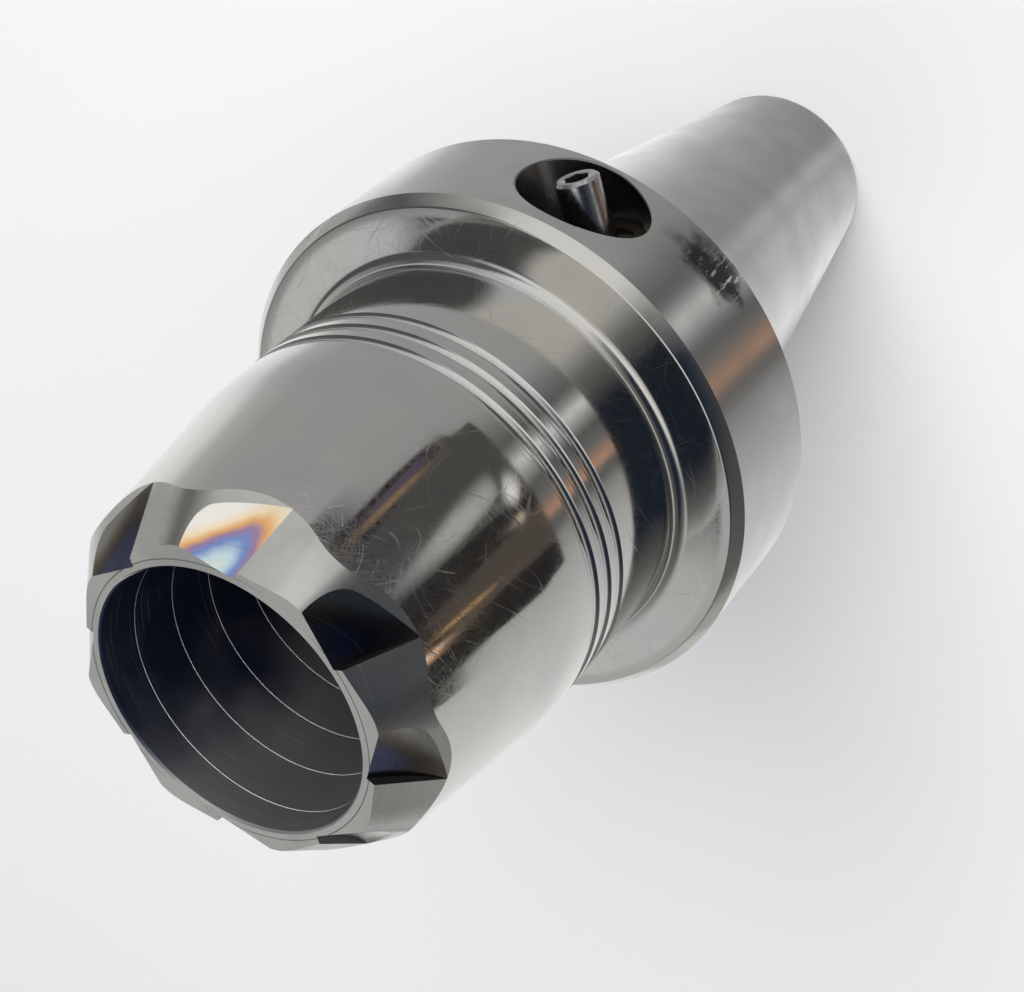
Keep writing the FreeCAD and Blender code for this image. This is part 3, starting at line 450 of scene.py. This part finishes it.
class Finish:
    """Nodes under construction, of a new material or of a world: short calls that add and join them."""

    def __init__(self, name, world=None):
        """Start a material of this name, or work on the nodes of the world that is given."""
        self.material = world or bpy.data.materials.new(name)
        self.material.use_nodes = True
        self.tree = self.material.node_tree
        self.shader = self.tree.nodes.get("Principled BSDF")

    def node(self, kind, values=(), **settings):
        """A node with its settings; a value that is an output is linked and any other is written in."""
        node = self.tree.nodes.new(kind)
        for key, value in settings.items():
            setattr(node, key, value)
        for socket, value in dict(values).items():
            if hasattr(value, "default_value"):
                self.tree.links.new(value, node.inputs[socket])
            else:
                node.inputs[socket].default_value = value
        return node

    def math(self, operation, first, second=0.5, third=0.5):
        """The result of one arithmetic operation."""
        return self.node("ShaderNodeMath", {0: first, 1: second, 2: third}, operation=operation).outputs[0]

    def place(self, scale, turn=(0, 0, 0)):
        """Object coordinates, turned and scaled."""
        source = self.node("ShaderNodeTexCoord").outputs["Object"]
        mapping = self.node("ShaderNodeMapping", {"Vector": source, "Scale": scale, "Rotation": turn})
        return mapping.outputs[0]

    def around(self, close, loose):
        """Coordinates that change fast along the profile and slowly round the axis."""
        source = self.node("ShaderNodeTexCoord").outputs["Object"]
        parts = self.node("ShaderNodeSeparateXYZ", {0: source})
        along = self.node("ShaderNodeAttribute", attribute_name="along").outputs["Fac"]
        return self.node("ShaderNodeCombineXYZ", {
            0: self.math("MULTIPLY", parts.outputs[0], loose),
            1: self.math("MULTIPLY", parts.outputs[1], loose),
            2: self.math("MULTIPLY", along, close)}).outputs[0]

    def unrolled(self, radius=0.04):
        """Coordinates on the surface: azimuth times a radius, and distance along the profile."""
        source = self.node("ShaderNodeTexCoord").outputs["Object"]
        parts = self.node("ShaderNodeSeparateXYZ", {0: source})
        along = self.node("ShaderNodeAttribute", attribute_name="along").outputs["Fac"]
        return self.node("ShaderNodeCombineXYZ", {
            0: self.math("MULTIPLY", self.math("ARCTAN2", parts.outputs[1], parts.outputs[0]), radius),
            1: along}).outputs[0]

    def noise(self, place, detail=2.0, roughness=0.5, scale=1.0):
        """Smooth noise, 0 to 1, at scaled coordinates."""
        return self.node("ShaderNodeTexNoise", {
            "Vector": place, "Scale": scale, "Detail": detail, "Roughness": roughness}).outputs[0]

    def ramp(self, value, low, high, start=0.0, end=1.0):
        """Value between two limits, spread over start to end."""
        return self.node("ShaderNodeMapRange", {
            0: value, 1: low, 2: high, 3: start, 4: end}, interpolation_type="SMOOTHSTEP").outputs[0]

    def colours(self, value, stops):
        """A colour ramp with stops of (position, colour)."""
        node = self.node("ShaderNodeValToRGB", {0: value})
        ramp = node.color_ramp
        while len(ramp.elements) < len(stops):
            ramp.elements.new(0.5)
        for element, (position, colour) in zip(ramp.elements, stops):
            element.position = position
            element.color = (*colour, 1.0)
        return node.outputs[0]

    def mix(self, share, first, second):
        """The first colour, giving way to the second by a share."""
        node = self.node("ShaderNodeMix", data_type="RGBA")
        for socket, value in ((0, share), (6, first), (7, second)):
            if hasattr(value, "default_value"):
                self.tree.links.new(value, node.inputs[socket])
            elif socket == 0:
                node.inputs[socket].default_value = value
            else:
                node.inputs[socket].default_value = (*value, 1.0)
        return node.outputs[2]

    def bump(self, height, strength, distance, normal=None):
        """A surface direction tilted by a height, on top of another one if given."""
        values = {"Height": height, "Strength": strength, "Distance": distance}
        if normal is not None:
            values["Normal"] = normal
        return self.node("ShaderNodeBump", values).outputs[0]

    def set(self, **values):
        """Set or link the main values of the shader."""
        names = {"colour": "Base Color", "metal": "Metallic", "rough": "Roughness", "normal": "Normal"}
        for key, value in values.items():
            socket = self.shader.inputs[names[key]]
            if hasattr(value, "default_value"):
                self.tree.links.new(value, socket)
            else:
                socket.default_value = (*value, 1.0) if isinstance(value, tuple) else value
        return self


def hairlines(finish, turns, close, thin, bend, stretch=0.025):
    """Fine scratches: noise stretched along several directions, kept where it peaks.

    The directions lie on the unrolled surface. bend moves the coordinates by slow noise first, so
    that the lines curve.
    """
    total = None
    flat = finish.unrolled()
    for index, turn in enumerate(turns):
        slow = finish.node("ShaderNodeTexNoise", {
            "Vector": flat, "Scale": 40.0 + 13 * index, "Detail": 0.0})
        drift = finish.node("ShaderNodeVectorMath", {
            0: slow.outputs[1], 1: (bend, bend, 0)}, operation="MULTIPLY")
        place = finish.node("ShaderNodeVectorMath", {0: flat, 1: drift.outputs[0]}, operation="ADD")
        place = finish.node("ShaderNodeMapping", {
            "Vector": place.outputs[0], "Location": (0.3 * index, 0.1, 0.7 * index),
            "Rotation": (0, 0, turn)})
        place = finish.node("ShaderNodeMapping", {
            "Vector": place.outputs[0], "Scale": (close, close * stretch, 1)}).outputs[0]
        line = finish.ramp(finish.noise(place, 1.0), thin, thin + 0.04)
        total = line if total is None else finish.math("MAXIMUM", total, line)
    return total


def scaled(colour, *factors):
    """A colour times one factor, or times one for each channel."""
    return tuple(c * f for c, f in zip(colour, factors if len(factors) == 3 else factors * 3))


def polished_steel(name, colour, rough, lines=0.03):
    """Near-mirror steel with wiping smears, hairline scratches and faint turning lines."""
    finish = Finish(name)
    smear = finish.noise(finish.place((60, 60, 60)), 4.0, 0.6)
    film = finish.noise(finish.place((38, 38, 55)), 3.0, 0.5)
    hair = hairlines(finish, (0.3, 0.9, 1.7, 2.5), 2600.0, 0.71, 0.016)
    fine = hairlines(finish, (0.6, 1.0, 1.3, 2.1, 2.8), 6500.0, 0.60, 0.012)
    turning = finish.noise(finish.around(9000.0, 25.0), 2.0)
    scored = finish.math("ADD", finish.math("MULTIPLY", hair, 0.12), finish.math("MULTIPLY", fine, 0.06))
    roughness = finish.math("ADD", finish.ramp(smear, 0.35, 0.75, rough, rough + 0.06), scored)
    normal = finish.bump(turning, lines, 0.00004)
    normal = finish.bump(hair, 0.05, 0.00003, normal)
    tint = finish.colours(film, (
        (0.30, scaled(colour, 0.97, 0.95, 1.01)), (0.45, colour),
        (0.58, scaled(colour, 1.02, 1.0, 0.95)), (0.72, scaled(colour, 0.93))))
    finish.set(colour=tint, metal=1.0, rough=roughness, normal=normal)
    return finish.material


def satin_steel(name, colour, rough, lines=0.35, close=14000.0):
    """Fine-turned steel: soft sheen broken by close lines round the axis."""
    finish = Finish(name)
    turning = finish.noise(finish.around(close, 40.0), 3.0)
    blotch = finish.noise(finish.place((90, 90, 90)), 3.0)
    normal = finish.bump(turning, lines, 0.00004)
    tint = finish.mix(finish.ramp(blotch, 0.35, 0.7), colour, scaled(colour, 0.88))
    sheen = finish.ramp(blotch, 0.3, 0.7, rough, rough + 0.06)
    finish.set(colour=tint, metal=1.0, rough=sheen, normal=normal)
    return finish.material


def rim_steel(name, colour, rough, patch_at=(-61, 0.108), patch_size=(11, 0.0055)):
    """Flange outside: fine turning lines, and a grimy patch beside the key bore.

    The patch has its middle and half size as azimuth in degrees and height in metres. It ends where
    the distance from its middle, in shares of its size and disturbed by noise, passes about 1.
    """
    finish = Finish(name)
    parts = finish.node("ShaderNodeSeparateXYZ", {0: finish.place((1, 1, 1))})
    azimuth = finish.math("ARCTAN2", parts.outputs[1], parts.outputs[0])
    across = finish.math("MULTIPLY", finish.math("SUBTRACT", azimuth, math.radians(patch_at[0])),
                         1 / math.radians(patch_size[0]))
    up = finish.math("MULTIPLY", finish.math("SUBTRACT", parts.outputs[2], patch_at[1]), 1 / patch_size[1])
    squares = finish.math("ADD", finish.math("POWER", across, 2.0), finish.math("POWER", up, 2.0))
    speck = finish.noise(finish.place((1500, 1500, 260)), 5.0, 0.7)
    clump = finish.noise(finish.place((160, 160, 240)), 2.0)
    ragged = finish.math("MULTIPLY", finish.math("SUBTRACT", clump, 0.5), 1.6)
    edge = finish.math("ADD", finish.math("SQRT", squares), ragged)
    grime = finish.math("MULTIPLY", finish.ramp(edge, 1.15, 0.45), finish.ramp(speck, 0.34, 0.46))
    turning = finish.noise(finish.around(12000.0, 30.0), 3.0)
    blotch = finish.noise(finish.place((70, 70, 70)), 3.0)
    tint = finish.mix(finish.ramp(blotch, 0.35, 0.7), colour, scaled(colour, 0.9))
    sheen = finish.ramp(blotch, 0.3, 0.7, rough, rough + 0.05)
    finish.set(colour=finish.mix(grime, tint, (0.07, 0.068, 0.062)), metal=1.0,
               rough=finish.math("ADD", sheen, finish.math("MULTIPLY", grime, 0.25)),
               normal=finish.bump(turning, 0.12, 0.00004))
    return finish.material


def bore_steel(name, colour, rough, pitch=0.00885, first_turn=0.083, line_end=0.040):
    """Dark ground bore: brushing round the axis, one side painted blue-black as painted shade, and a thin helical
    line painted near-white, partly a scratch and partly a painted highlight.

    The line is where depth below the mouth over pitch, plus azimuth in turns less first_turn, has
    a half as its fraction. It fades out over the last 6 mm before the depth line_end, in metres.
    """
    finish = Finish(name)
    parts = finish.node("ShaderNodeSeparateXYZ", {0: finish.place((1, 1, 1))})
    turns = finish.math("DIVIDE", finish.math("ARCTAN2", parts.outputs[1], parts.outputs[0]), FULL)
    depth = finish.math("SUBTRACT", NOSE_Z * MM, parts.outputs[2])
    turned = finish.math("SUBTRACT", turns, first_turn)
    count = finish.math("ADD", finish.math("DIVIDE", depth, pitch), turned)
    off = finish.math("ABSOLUTE", finish.math("SUBTRACT", finish.math("FRACT", count), 0.5))
    # The helical line: a scratch painted near-white and less metallic, partly wear and partly a painted highlight.
    line = finish.math("MULTIPLY", finish.ramp(off, 0.490, 0.496),
                       finish.ramp(depth, line_end, line_end - 0.006))
    brushing = finish.noise(finish.around(5200.0, 30.0), 4.0, 0.7)
    patch = finish.noise(finish.place((70, 70, 70)), 2.0)
    brushed = finish.math("MULTIPLY", finish.ramp(brushing, 0.52, 0.72), finish.ramp(patch, 0.45, 0.62))
    # Painted shade: the side towards +X is painted blue-black, giving way to the steel colour towards -X; slow
    # noise moves the border.
    drift = finish.math("MULTIPLY", finish.math("SUBTRACT", patch, 0.5), 0.25)
    around = finish.math("ADD", finish.math("ABSOLUTE", turns), drift)
    tint = finish.mix(finish.ramp(around, 0.24, 0.44), (0.05, 0.06, 0.13), colour)
    tint = finish.mix(finish.math("MULTIPLY", brushed, 0.6), tint, (0.80, 0.81, 0.78))
    sheen = finish.ramp(brushing, 0.3, 0.7, rough, rough + 0.12)
    finish.set(colour=finish.mix(line, tint, (1.0, 1.0, 0.98)),
               metal=finish.math("SUBTRACT", 0.9, finish.math("MULTIPLY", line, 0.6)),
               rough=finish.math("ADD", finish.math("MULTIPLY", line, 0.2), sheen),
               normal=finish.bump(brushing, 0.4, 0.00004))
    return finish.material


def ground_notch(name, lit_notch_angle=WALL_ANGLE + 0.15, lit_notch_reach=0.35):
    """Ground notch floor with grinding lines and a heat mark whose colours come in two copies: a lit copy in one
    notch, a painted reflection of a bright room, and a dark copy in the rest, painted shade.

    The lit notch lies within the given reach, in radians, of the given azimuth.
    """
    finish = Finish(name)
    heat = finish.node("ShaderNodeAttribute", attribute_name="heat_mark").outputs["Fac"]
    waver = finish.noise(finish.place((300, 300, 300)), 3.0)
    shifted = finish.math("ADD", heat, finish.math("MULTIPLY", finish.math("SUBTRACT", waver, 0.5), 0.25))
    level = finish.math("MULTIPLY", shifted, 0.4)
    # Lit copy of the heat colours: painted highlight, as bright as a reflection of the bright room.
    lit_heat_colours = finish.colours(level, (
        (0.0, (0.80, 0.84, 0.74)), (0.12, (0.60, 0.76, 0.82)), (0.23, (0.20, 0.30, 0.60)),
        (0.31, (0.36, 0.24, 0.38)), (0.38, (0.86, 0.46, 0.18)), (0.47, (0.98, 0.80, 0.54)),
        (0.62, (0.96, 0.92, 0.84))))
    # Shaded copy of the same heat colours: painted shade.
    shaded_heat_colours = finish.colours(level, (
        (0.0, (0.05, 0.055, 0.09)), (0.18, (0.06, 0.07, 0.14)), (0.32, (0.08, 0.072, 0.075)),
        (0.45, (0.15, 0.13, 0.10)), (0.70, (0.42, 0.41, 0.36))))
    parts = finish.node("ShaderNodeSeparateXYZ", {0: finish.place((1, 1, 1))})
    # Painted light by azimuth: one notch gets the lit copy, the others the shaded copy.
    azimuth = finish.math("ARCTAN2", parts.outputs[1], parts.outputs[0])
    lit_notch = finish.math("COMPARE", azimuth, lit_notch_angle, lit_notch_reach)
    grinding = finish.noise(finish.around(5000.0, 60.0), 2.0)
    finish.set(colour=finish.mix(lit_notch, shaded_heat_colours, lit_heat_colours), metal=1.0, rough=0.20,
               normal=finish.bump(grinding, 0.45, 0.00004))
    return finish.material


def plain_finish(name, colour, rough, metal, grain=0.1):
    """A simple part finish with a little grain."""
    finish = Finish(name)
    speck = finish.noise(finish.place((900, 900, 900)), 3.0)
    finish.set(colour=finish.mix(finish.ramp(speck, 0.3, 0.7), colour, scaled(colour, 0.8)),
               metal=metal, rough=finish.ramp(speck, 0.3, 0.7, rough, rough + 0.1),
               normal=finish.bump(speck, grain, 0.00005))
    return finish.material


# ---- build -------------------------------------------------------------------------------------

NECK_STEEL = polished_steel("polished neck steel", (0.62, 0.615, 0.60), 0.05)
NOSE_STEEL = satin_steel("turned nose steel", (0.60, 0.60, 0.57), 0.22, lines=0.3, close=4500.0)
FACE_STEEL = satin_steel("turned face steel", (0.58, 0.59, 0.56), 0.30, lines=0.4)
NOTCH_STEEL = ground_notch("ground notch steel")
# Painted shade: the notch walls are painted near black, far darker than the body's steel, for the shade in the
# notches.
SHADED_WALL_STEEL = satin_steel("notch wall steel", (0.08, 0.078, 0.078), 0.35)
RIM_STEEL = rim_steel("flange rim steel", (0.62, 0.62, 0.60), 0.16)
SHANK_STEEL = satin_steel("ground shank steel", (0.62, 0.62, 0.61), 0.18, lines=0.12)
BORE_STEEL = bore_steel("dark bore steel", (0.46, 0.47, 0.47), 0.36)
# Painted shade: the key bore's wall is painted much darker than the flange's outside, for the shade inside the
# hole.
SHADED_KEY_BORE_STEEL = satin_steel("key bore steel", (0.24, 0.24, 0.25), 0.22, lines=0.3)

body_pieces = [make_nose([NECK_STEEL, NOSE_STEEL, NOTCH_STEEL, FACE_STEEL, SHADED_WALL_STEEL])]
neck_profile = grooved_neck()
body_pieces.append(turned_piece("neck", densify(neck_profile, 2.0), [NECK_STEEL], columns=512))
inside = densify(corner_rounds(inside_and_shank()), 4.0)
travelled = run_length(inside)
outside_start = int(np.argmax((inside[:, 1] < 0.01)))
body_pieces.append(turned_piece(
    "bores_and_shank", inside, [BORE_STEEL, SHANK_STEEL],
    np.where(np.arange(len(inside) - 1) < outside_start, 0, 1)))
body_pieces.append(make_flange_rim([RIM_STEEL, SHADED_KEY_BORE_STEEL]))
for piece in body_pieces:
    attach(piece, "body")
    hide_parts("chuck_body")

SLOT_FINISH = {
    "hardened_steel": plain_finish("hardened steel", (0.50, 0.50, 0.50), 0.18, 1.0),
    "spring_steel": plain_finish("tempered spring steel", (0.30, 0.30, 0.32), 0.28, 1.0),
    "bearing_bronze": plain_finish("turned bronze", (0.24, 0.18, 0.12), 0.30, 1.0),
    "cage_brass": plain_finish("milled brass", (0.70, 0.56, 0.27), 0.25, 1.0),
    "black_steel": plain_finish("black oxide steel", (0.05, 0.05, 0.055), 0.35, 0.8),
    "seal_rubber": plain_finish("seal rubber", (0.02, 0.02, 0.02), 0.6, 0.0, 0.3),
}
for entry in frame["record"]["subparts"]:
    node = frame["nodes"][entry["node"]]
    if entry["material_slot"] in SLOT_FINISH:
        node.data.materials.clear()
        node.data.materials.append(SLOT_FINISH[entry["material_slot"]])

# ---- stage -------------------------------------------------------------------------------------

def flat_piece(name, outline, height):
    """A flat polygon at a height, in metres."""
    mesh = bpy.data.meshes.new(name)
    mesh.from_pydata([(x, y, height) for x, y in outline], [], [list(range(len(outline)))])
    piece = bpy.data.objects.new(name, mesh)
    bpy.context.scene.collection.objects.link(piece)
    return piece


def circle(radius, count=96, middle=(0, 0)):
    """Points of a circle: x = r cos a, y = r sin a."""
    angle = np.arange(count) * FULL / count
    return np.stack([
        middle[0] + radius * np.cos(angle), middle[1] + radius * np.sin(angle)], axis=-1).tolist()


def make_floor(radius=6.0):
    """A wide round pale floor in the plane z = 0."""
    floor = flat_piece("floor", circle(radius), 0.0)
    finish = Finish("pale floor")
    finish.set(colour=(0.85, 0.85, 0.865), metal=0.0, rough=0.6)
    finish.shader.inputs["Specular IOR Level"].default_value = 0.0
    floor.data.materials.append(finish.material)


def card_finish(name, paint):
    """A glowing card's material; 'paint' gives its colour and how far it covers what lies behind."""
    finish = Finish(name)
    colour, cover = paint(finish)
    glow = finish.node("ShaderNodeEmission")
    if hasattr(colour, "default_value"):
        finish.tree.links.new(colour, glow.inputs[0])
    else:
        glow.inputs[0].default_value = (*colour, 1.0)
    clear = finish.node("ShaderNodeBsdfTransparent")
    both = finish.node("ShaderNodeMixShader", {0: cover})
    finish.tree.links.new(clear.outputs[0], both.inputs[1])
    finish.tree.links.new(glow.outputs[0], both.inputs[2])
    finish.tree.links.new(both.outputs[0], finish.tree.nodes["Material Output"].inputs[0])
    return finish.material


def card(name, outline, height, paint):
    """A glowing card that only reflections see: a painted reflection, standing for something in the room round the
    part.
    """
    piece = flat_piece(name, outline, height)
    for ray in ("camera", "diffuse", "shadow", "transmission", "volume_scatter"):
        setattr(piece, "visible_" + ray, False)
    piece.data.materials.append(card_finish(name, paint))


def compass(finish, place):
    """Azimuth of a place in turns, 0 at -X and growing through -Y, +X and +Y; and the place's parts."""
    parts = finish.node("ShaderNodeSeparateXYZ", {0: place})
    turn = finish.math("ARCTAN2", parts.outputs[1], parts.outputs[0])
    return finish.math("ADD", finish.math("DIVIDE", turn, FULL), 0.5), parts


def by_azimuth(stops):
    """Ramp stops from (azimuth in degrees, colour or grey level)."""
    return [(degrees / 360 + 0.5, shade if isinstance(shade, tuple) else (shade,) * 3)
            for degrees, shade in stops]


# Painted reflection of a room near the part, glowing on the surroundings card: azimuth in degrees, then a grey
# level or a colour.
ROUND_ROOM = (
    (-180, 0.86), (-160, 0.76), (-140, 0.66), (-118, 0.50), (-108, 0.34), (-103, 0.14), (-99, 0.16),
    (-96, (0.62, 0.36, 0.24)), (-92, (0.40, 0.26, 0.19)), (-88, 0.20), (-80, 0.12), (-74, 0.45), (-69, 0.80),
    (-65, 0.35), (-60, 0.13), (-50, 0.24), (-40, 0.38), (-30, 0.41), (35, 0.44), (50, 0.55), (60, 0.85),
    (75, 0.98), (110, 0.92), (150, 0.88), (180, 0.86))
CLOSE_ROOM = (
    (-180, 0.44), (-160, 0.80), (-150, 1.0), (-130, 0.88), (-110, 0.70), (-90, 0.62), (-80, 0.50),
    (-70, 0.56), (-60, 0.36), (-45, 0.38), (-20, 0.45), (-5, 0.52), (10, 0.68), (30, 0.92), (50, 1.12),
    (70, 1.2), (180, 0.44))
FAR_ROOM = (
    (-180, 0.75), (-150, 0.85), (-120, 0.35), (-95, 0.10), (-70, 0.14), (-45, 0.55), (-15, 0.85), (15, 0.50),
    (40, 0.20), (60, 0.30), (85, 0.80), (110, 0.85), (135, 0.30), (150, 0.22), (165, 0.55), (180, 0.75))


def paint_surroundings(finish):
    """Painted reflection levels round the part: sets of azimuth stops at its foot, round it, and beyond half a
    metre.
    """
    place = finish.place((1, 1, 0))
    waver = finish.noise(place, scale=9.0)
    turn, _ = compass(finish, place)
    turn = finish.math("ADD", turn, finish.math("MULTIPLY", finish.math("SUBTRACT", waver, 0.5), 0.02))
    reach = finish.node("ShaderNodeVectorMath", {0: place}, operation="LENGTH").outputs["Value"]
    close, near, far = (
        finish.colours(turn, by_azimuth(stops)) for stops in (CLOSE_ROOM, ROUND_ROOM, FAR_ROOM))
    inner = finish.mix(finish.ramp(reach, 0.07, 0.10), close, near)
    return finish.mix(finish.ramp(reach, 0.45, 0.55), inner, far), finish.ramp(reach, 2.0, 1.2)


def even(shade):
    """Paint of one level all over, hiding what lies behind."""
    return lambda finish: (shade, 1.0)


def fading(shade):
    """Paint that fades from the middle of a card to its edge."""
    def paint(finish):
        """The shade, and cover that falls with distance from the card's middle."""
        place = finish.node("ShaderNodeTexCoord").outputs["Generated"]
        centred = finish.node("ShaderNodeVectorMath", {0: place, 1: (0.5, 0.5, 0.0)}, operation="SUBTRACT")
        flat = finish.node("ShaderNodeVectorMath", {
            0: centred.outputs[0], 1: (1, 1, 0)}, operation="MULTIPLY")
        reach = finish.node("ShaderNodeVectorMath", {0: flat.outputs[0]}, operation="LENGTH")
        return shade, finish.ramp(reach.outputs["Value"], 0.5, 0.08)
    return paint


# Flat glowing cards over the floor, seen only in reflections as painted reflections, in millimetres: name,
# outline, paint.
FLOOR_CARDS = (
    ("dark card", ((-145, -266), (-128, -245), (-100, -192), (-50, -210), (0, -216), (60, -208), (110, -186),
                   (165, -140), (200, -170), (230, -190), (267, -202), (289, -204), (319, -216), (346, -243),
                   (352, -244), (383, -186), (401, -166), (440, -190), (430, -270), (290, -400), (140, -460),
                   (0, -470), (-100, -460), (-200, -420), (-290, -340), (-258, -283), (-209, -329),
                   (-181, -316), (-167, -290), (-151, -271)), even((0.025, 0.024, 0.024))),
    ("charcoal card", ((300, -330), (262, -212), (170, -150), (90, -195), (30, -216), (60, -300), (90, -430),
                       (222, -400)), even((0.085, 0.085, 0.08))),
    ("brown card", ((-33, -430), (-5, -383), (6, -351), (10, -216), (-60, -212), (-85, -327), (-104, -352),
                    (-117, -382)), even((0.10, 0.085, 0.075))),
    ("violet card", ((336, -259), (286, -214), (268, -226), (313, -273)), even((0.11, 0.085, 0.13))),
    ("bronze card", ((330, -278), (312, -297), (266, -248), (276, -240)), even((0.36, 0.23, 0.13))),
    ("orange line card", ((-91, -404), (-81, -402), (-66, -360), (-76, -358)), even((0.95, 0.60, 0.28))),
    ("orange card", ((-104, -425), (-112, -402), (-142, -386), (-145, -408)), even((0.85, 0.42, 0.20))),
)
# Soft glowing cards, painted reflections and highlights: name, middle, half width, half length, azimuth of the
# length, paint.
SOFT_CARDS = (
    ("soft streak card", (128, -350), 34, 95, -108, (0.52, 0.52, 0.50)),
    ("soft spot card", (72, -262), 26, 60, -106, (0.95, 0.94, 0.90)),
    ("soft corner card", (20, -300), 14, 40, -95, (0.75, 0.62, 0.50)),
    ("soft orange core", (-126, -402), 8, 30, -140, (1.4, 1.1, 0.8)),
)


def turned_box(middle, half_width, half_length, degrees):
    """Corners of a box whose length points at an azimuth."""
    turn = math.radians(degrees)
    length, width = np.array((math.cos(turn), math.sin(turn))), np.array((-math.sin(turn), math.cos(turn)))
    return [tuple(np.array(middle) + length * half_length * a + width * half_width * b)
            for a, b in ((-1, -1), (1, -1), (1, 1), (-1, 1))]


# The glowing ring overhead, a painted reflection: its levels by azimuth about its middle, and its place and radii
# in metres.
FACE_RING = (
    (-180, 0.72), (-120, 0.62), (-111, 0.36), (-100, 0.09), (-91, (0.012, 0.016, 0.035)),
    (-66, (0.012, 0.016, 0.035)), (-58, 0.09), (-53, 0.75), (-45, 0.75), (-40, 0.14), (-26, 0.045),
    (-12, 0.02), (-5, 0.10), (3, 0.70), (180, 0.72))
RING_MIDDLE, RING_HEIGHT, RING_INNER, RING_OUTER = (-0.256, 0.384), 0.6, 0.098, 0.16
ROOM_CARD_HEIGHT, FIRST_CARD_HEIGHT, CARD_GAP = 0.0004, 0.0008, 0.0003


def paint_ring(finish):
    """Levels by azimuth about the ring's middle, covering only between its two radii."""
    place = finish.node("ShaderNodeMapping", {
        "Vector": finish.place((1, 1, 0)),
        "Location": (-RING_MIDDLE[0], -RING_MIDDLE[1], 0)}).outputs[0]
    turn, _ = compass(finish, place)
    reach = finish.node("ShaderNodeVectorMath", {0: place}, operation="LENGTH").outputs["Value"]
    cover = finish.math("MULTIPLY", finish.ramp(reach, RING_INNER, RING_INNER + 0.006),
                        finish.ramp(reach, RING_OUTER, RING_OUTER - 0.010))
    return finish.colours(turn, by_azimuth(FACE_RING)), cover


def make_cards():
    """The glowing cards near the floor, and the dark ring overhead that the flange's front face mirrors: painted
    reflections, seen only in reflections.
    """
    card("surroundings card", circle(2.0), ROOM_CARD_HEIGHT, paint_surroundings)
    height = FIRST_CARD_HEIGHT
    for name, outline, paint in FLOOR_CARDS:
        card(name, [(x * MM, y * MM) for x, y in outline], height, paint)
        height += CARD_GAP
    for name, middle, half_width, half_length, degrees, shade in SOFT_CARDS:
        box = turned_box(middle, half_width, half_length, degrees)
        card(name, [(x * MM, y * MM) for x, y in box], height, fading(shade))
        height += CARD_GAP
    card("overhead ring card", circle(RING_OUTER, 96, RING_MIDDLE), RING_HEIGHT, paint_ring)


def soft_lamp(name, place, size, power, aim=(0, 0, 0.1)):
    """A square soft lamp at a place, turned to the part's middle, that reflections don't show."""
    light = bpy.data.lights.new(name, "AREA")
    light.size, light.energy = size, power
    lamp = bpy.data.objects.new(name, light)
    lamp.location = place
    lamp.rotation_euler = (Vector(aim) - Vector(place)).to_track_quat("-Z", "Y").to_euler()
    lamp.visible_glossy = False
    bpy.context.scene.collection.objects.link(lamp)


SKY_LOW = (
    (-180, 0.25), (-165, 0.17), (-130, 0.10), (-100, 0.10), (-72, 0.20), (-50, 0.85), (-10, 0.85), (12, 0.50),
    (38, 0.12), (55, 0.25), (70, 0.40), (100, 0.80), (150, 0.60), (180, 0.25))
SKY_HIGH = (
    (-180, 0.20), (-150, (0.02, 0.03, 0.05)), (-80, (0.02, 0.03, 0.05)), (-60, 0.30), (-45, 0.90), (0, 0.90),
    (12, 0.12), (100, 0.10), (115, 0.55), (150, 0.55), (180, 0.20))


def make_world():
    """A dim room with a bright side and a bright ceiling; the camera sees a plain pale backdrop."""
    world = bpy.data.worlds.new("surroundings")
    finish = Finish(None, world)
    background = world.node_tree.nodes["Background"]
    direction = finish.node("ShaderNodeTexCoord").outputs["Generated"]
    turn, parts = compass(finish, direction)
    lift = finish.math("MULTIPLY", finish.math("ARCSINE", parts.outputs[2]), 180 / math.pi)
    low, high = finish.colours(turn, by_azimuth(SKY_LOW)), finish.colours(turn, by_azimuth(SKY_HIGH))
    room = finish.mix(finish.ramp(lift, 20.0, 36.0), low, high)
    room = finish.mix(finish.ramp(lift, 9.0, 2.0), room, (0.5, 0.5, 0.5))
    room = finish.mix(finish.ramp(lift, 58.0, 72.0), room, (0.95, 0.95, 0.95))
    seen = finish.node("ShaderNodeLightPath").outputs["Is Camera Ray"]
    finish.tree.links.new(finish.mix(seen, room, (0.86, 0.86, 0.87)), background.inputs[0])
    background.inputs[1].default_value = 1.0
    bpy.context.scene.world = world


def make_camera():
    """The camera, by its place and its three axes."""
    data = bpy.data.cameras.new("camera")
    data.sensor_width = 36.0
    data.lens = 70.75
    data.clip_start, data.clip_end = 0.01, 50.0
    camera = bpy.data.objects.new("camera", data)
    right, up = Vector((-.28376, -.8214, -.49475)), Vector((.86745, 0, -.49752))
    back = Vector((.40866, -.57035, .71252))
    turn = Matrix((right, up, back)).transposed().to_4x4()
    camera.matrix_world = Matrix.Translation((0.1390, -0.2084, 0.3848)) @ turn
    bpy.context.scene.collection.objects.link(camera)
    bpy.context.scene.camera = camera


make_floor()
make_cards()
make_camera()
make_world()
soft_lamp("key lamp", (2.1, -0.72, 2.0), 2.0, 57.0)
soft_lamp("fill lamp", (0.9, -1.6, 2.8), 2.4, 42.0)

bpy.context.scene.view_settings.view_transform = "Standard"
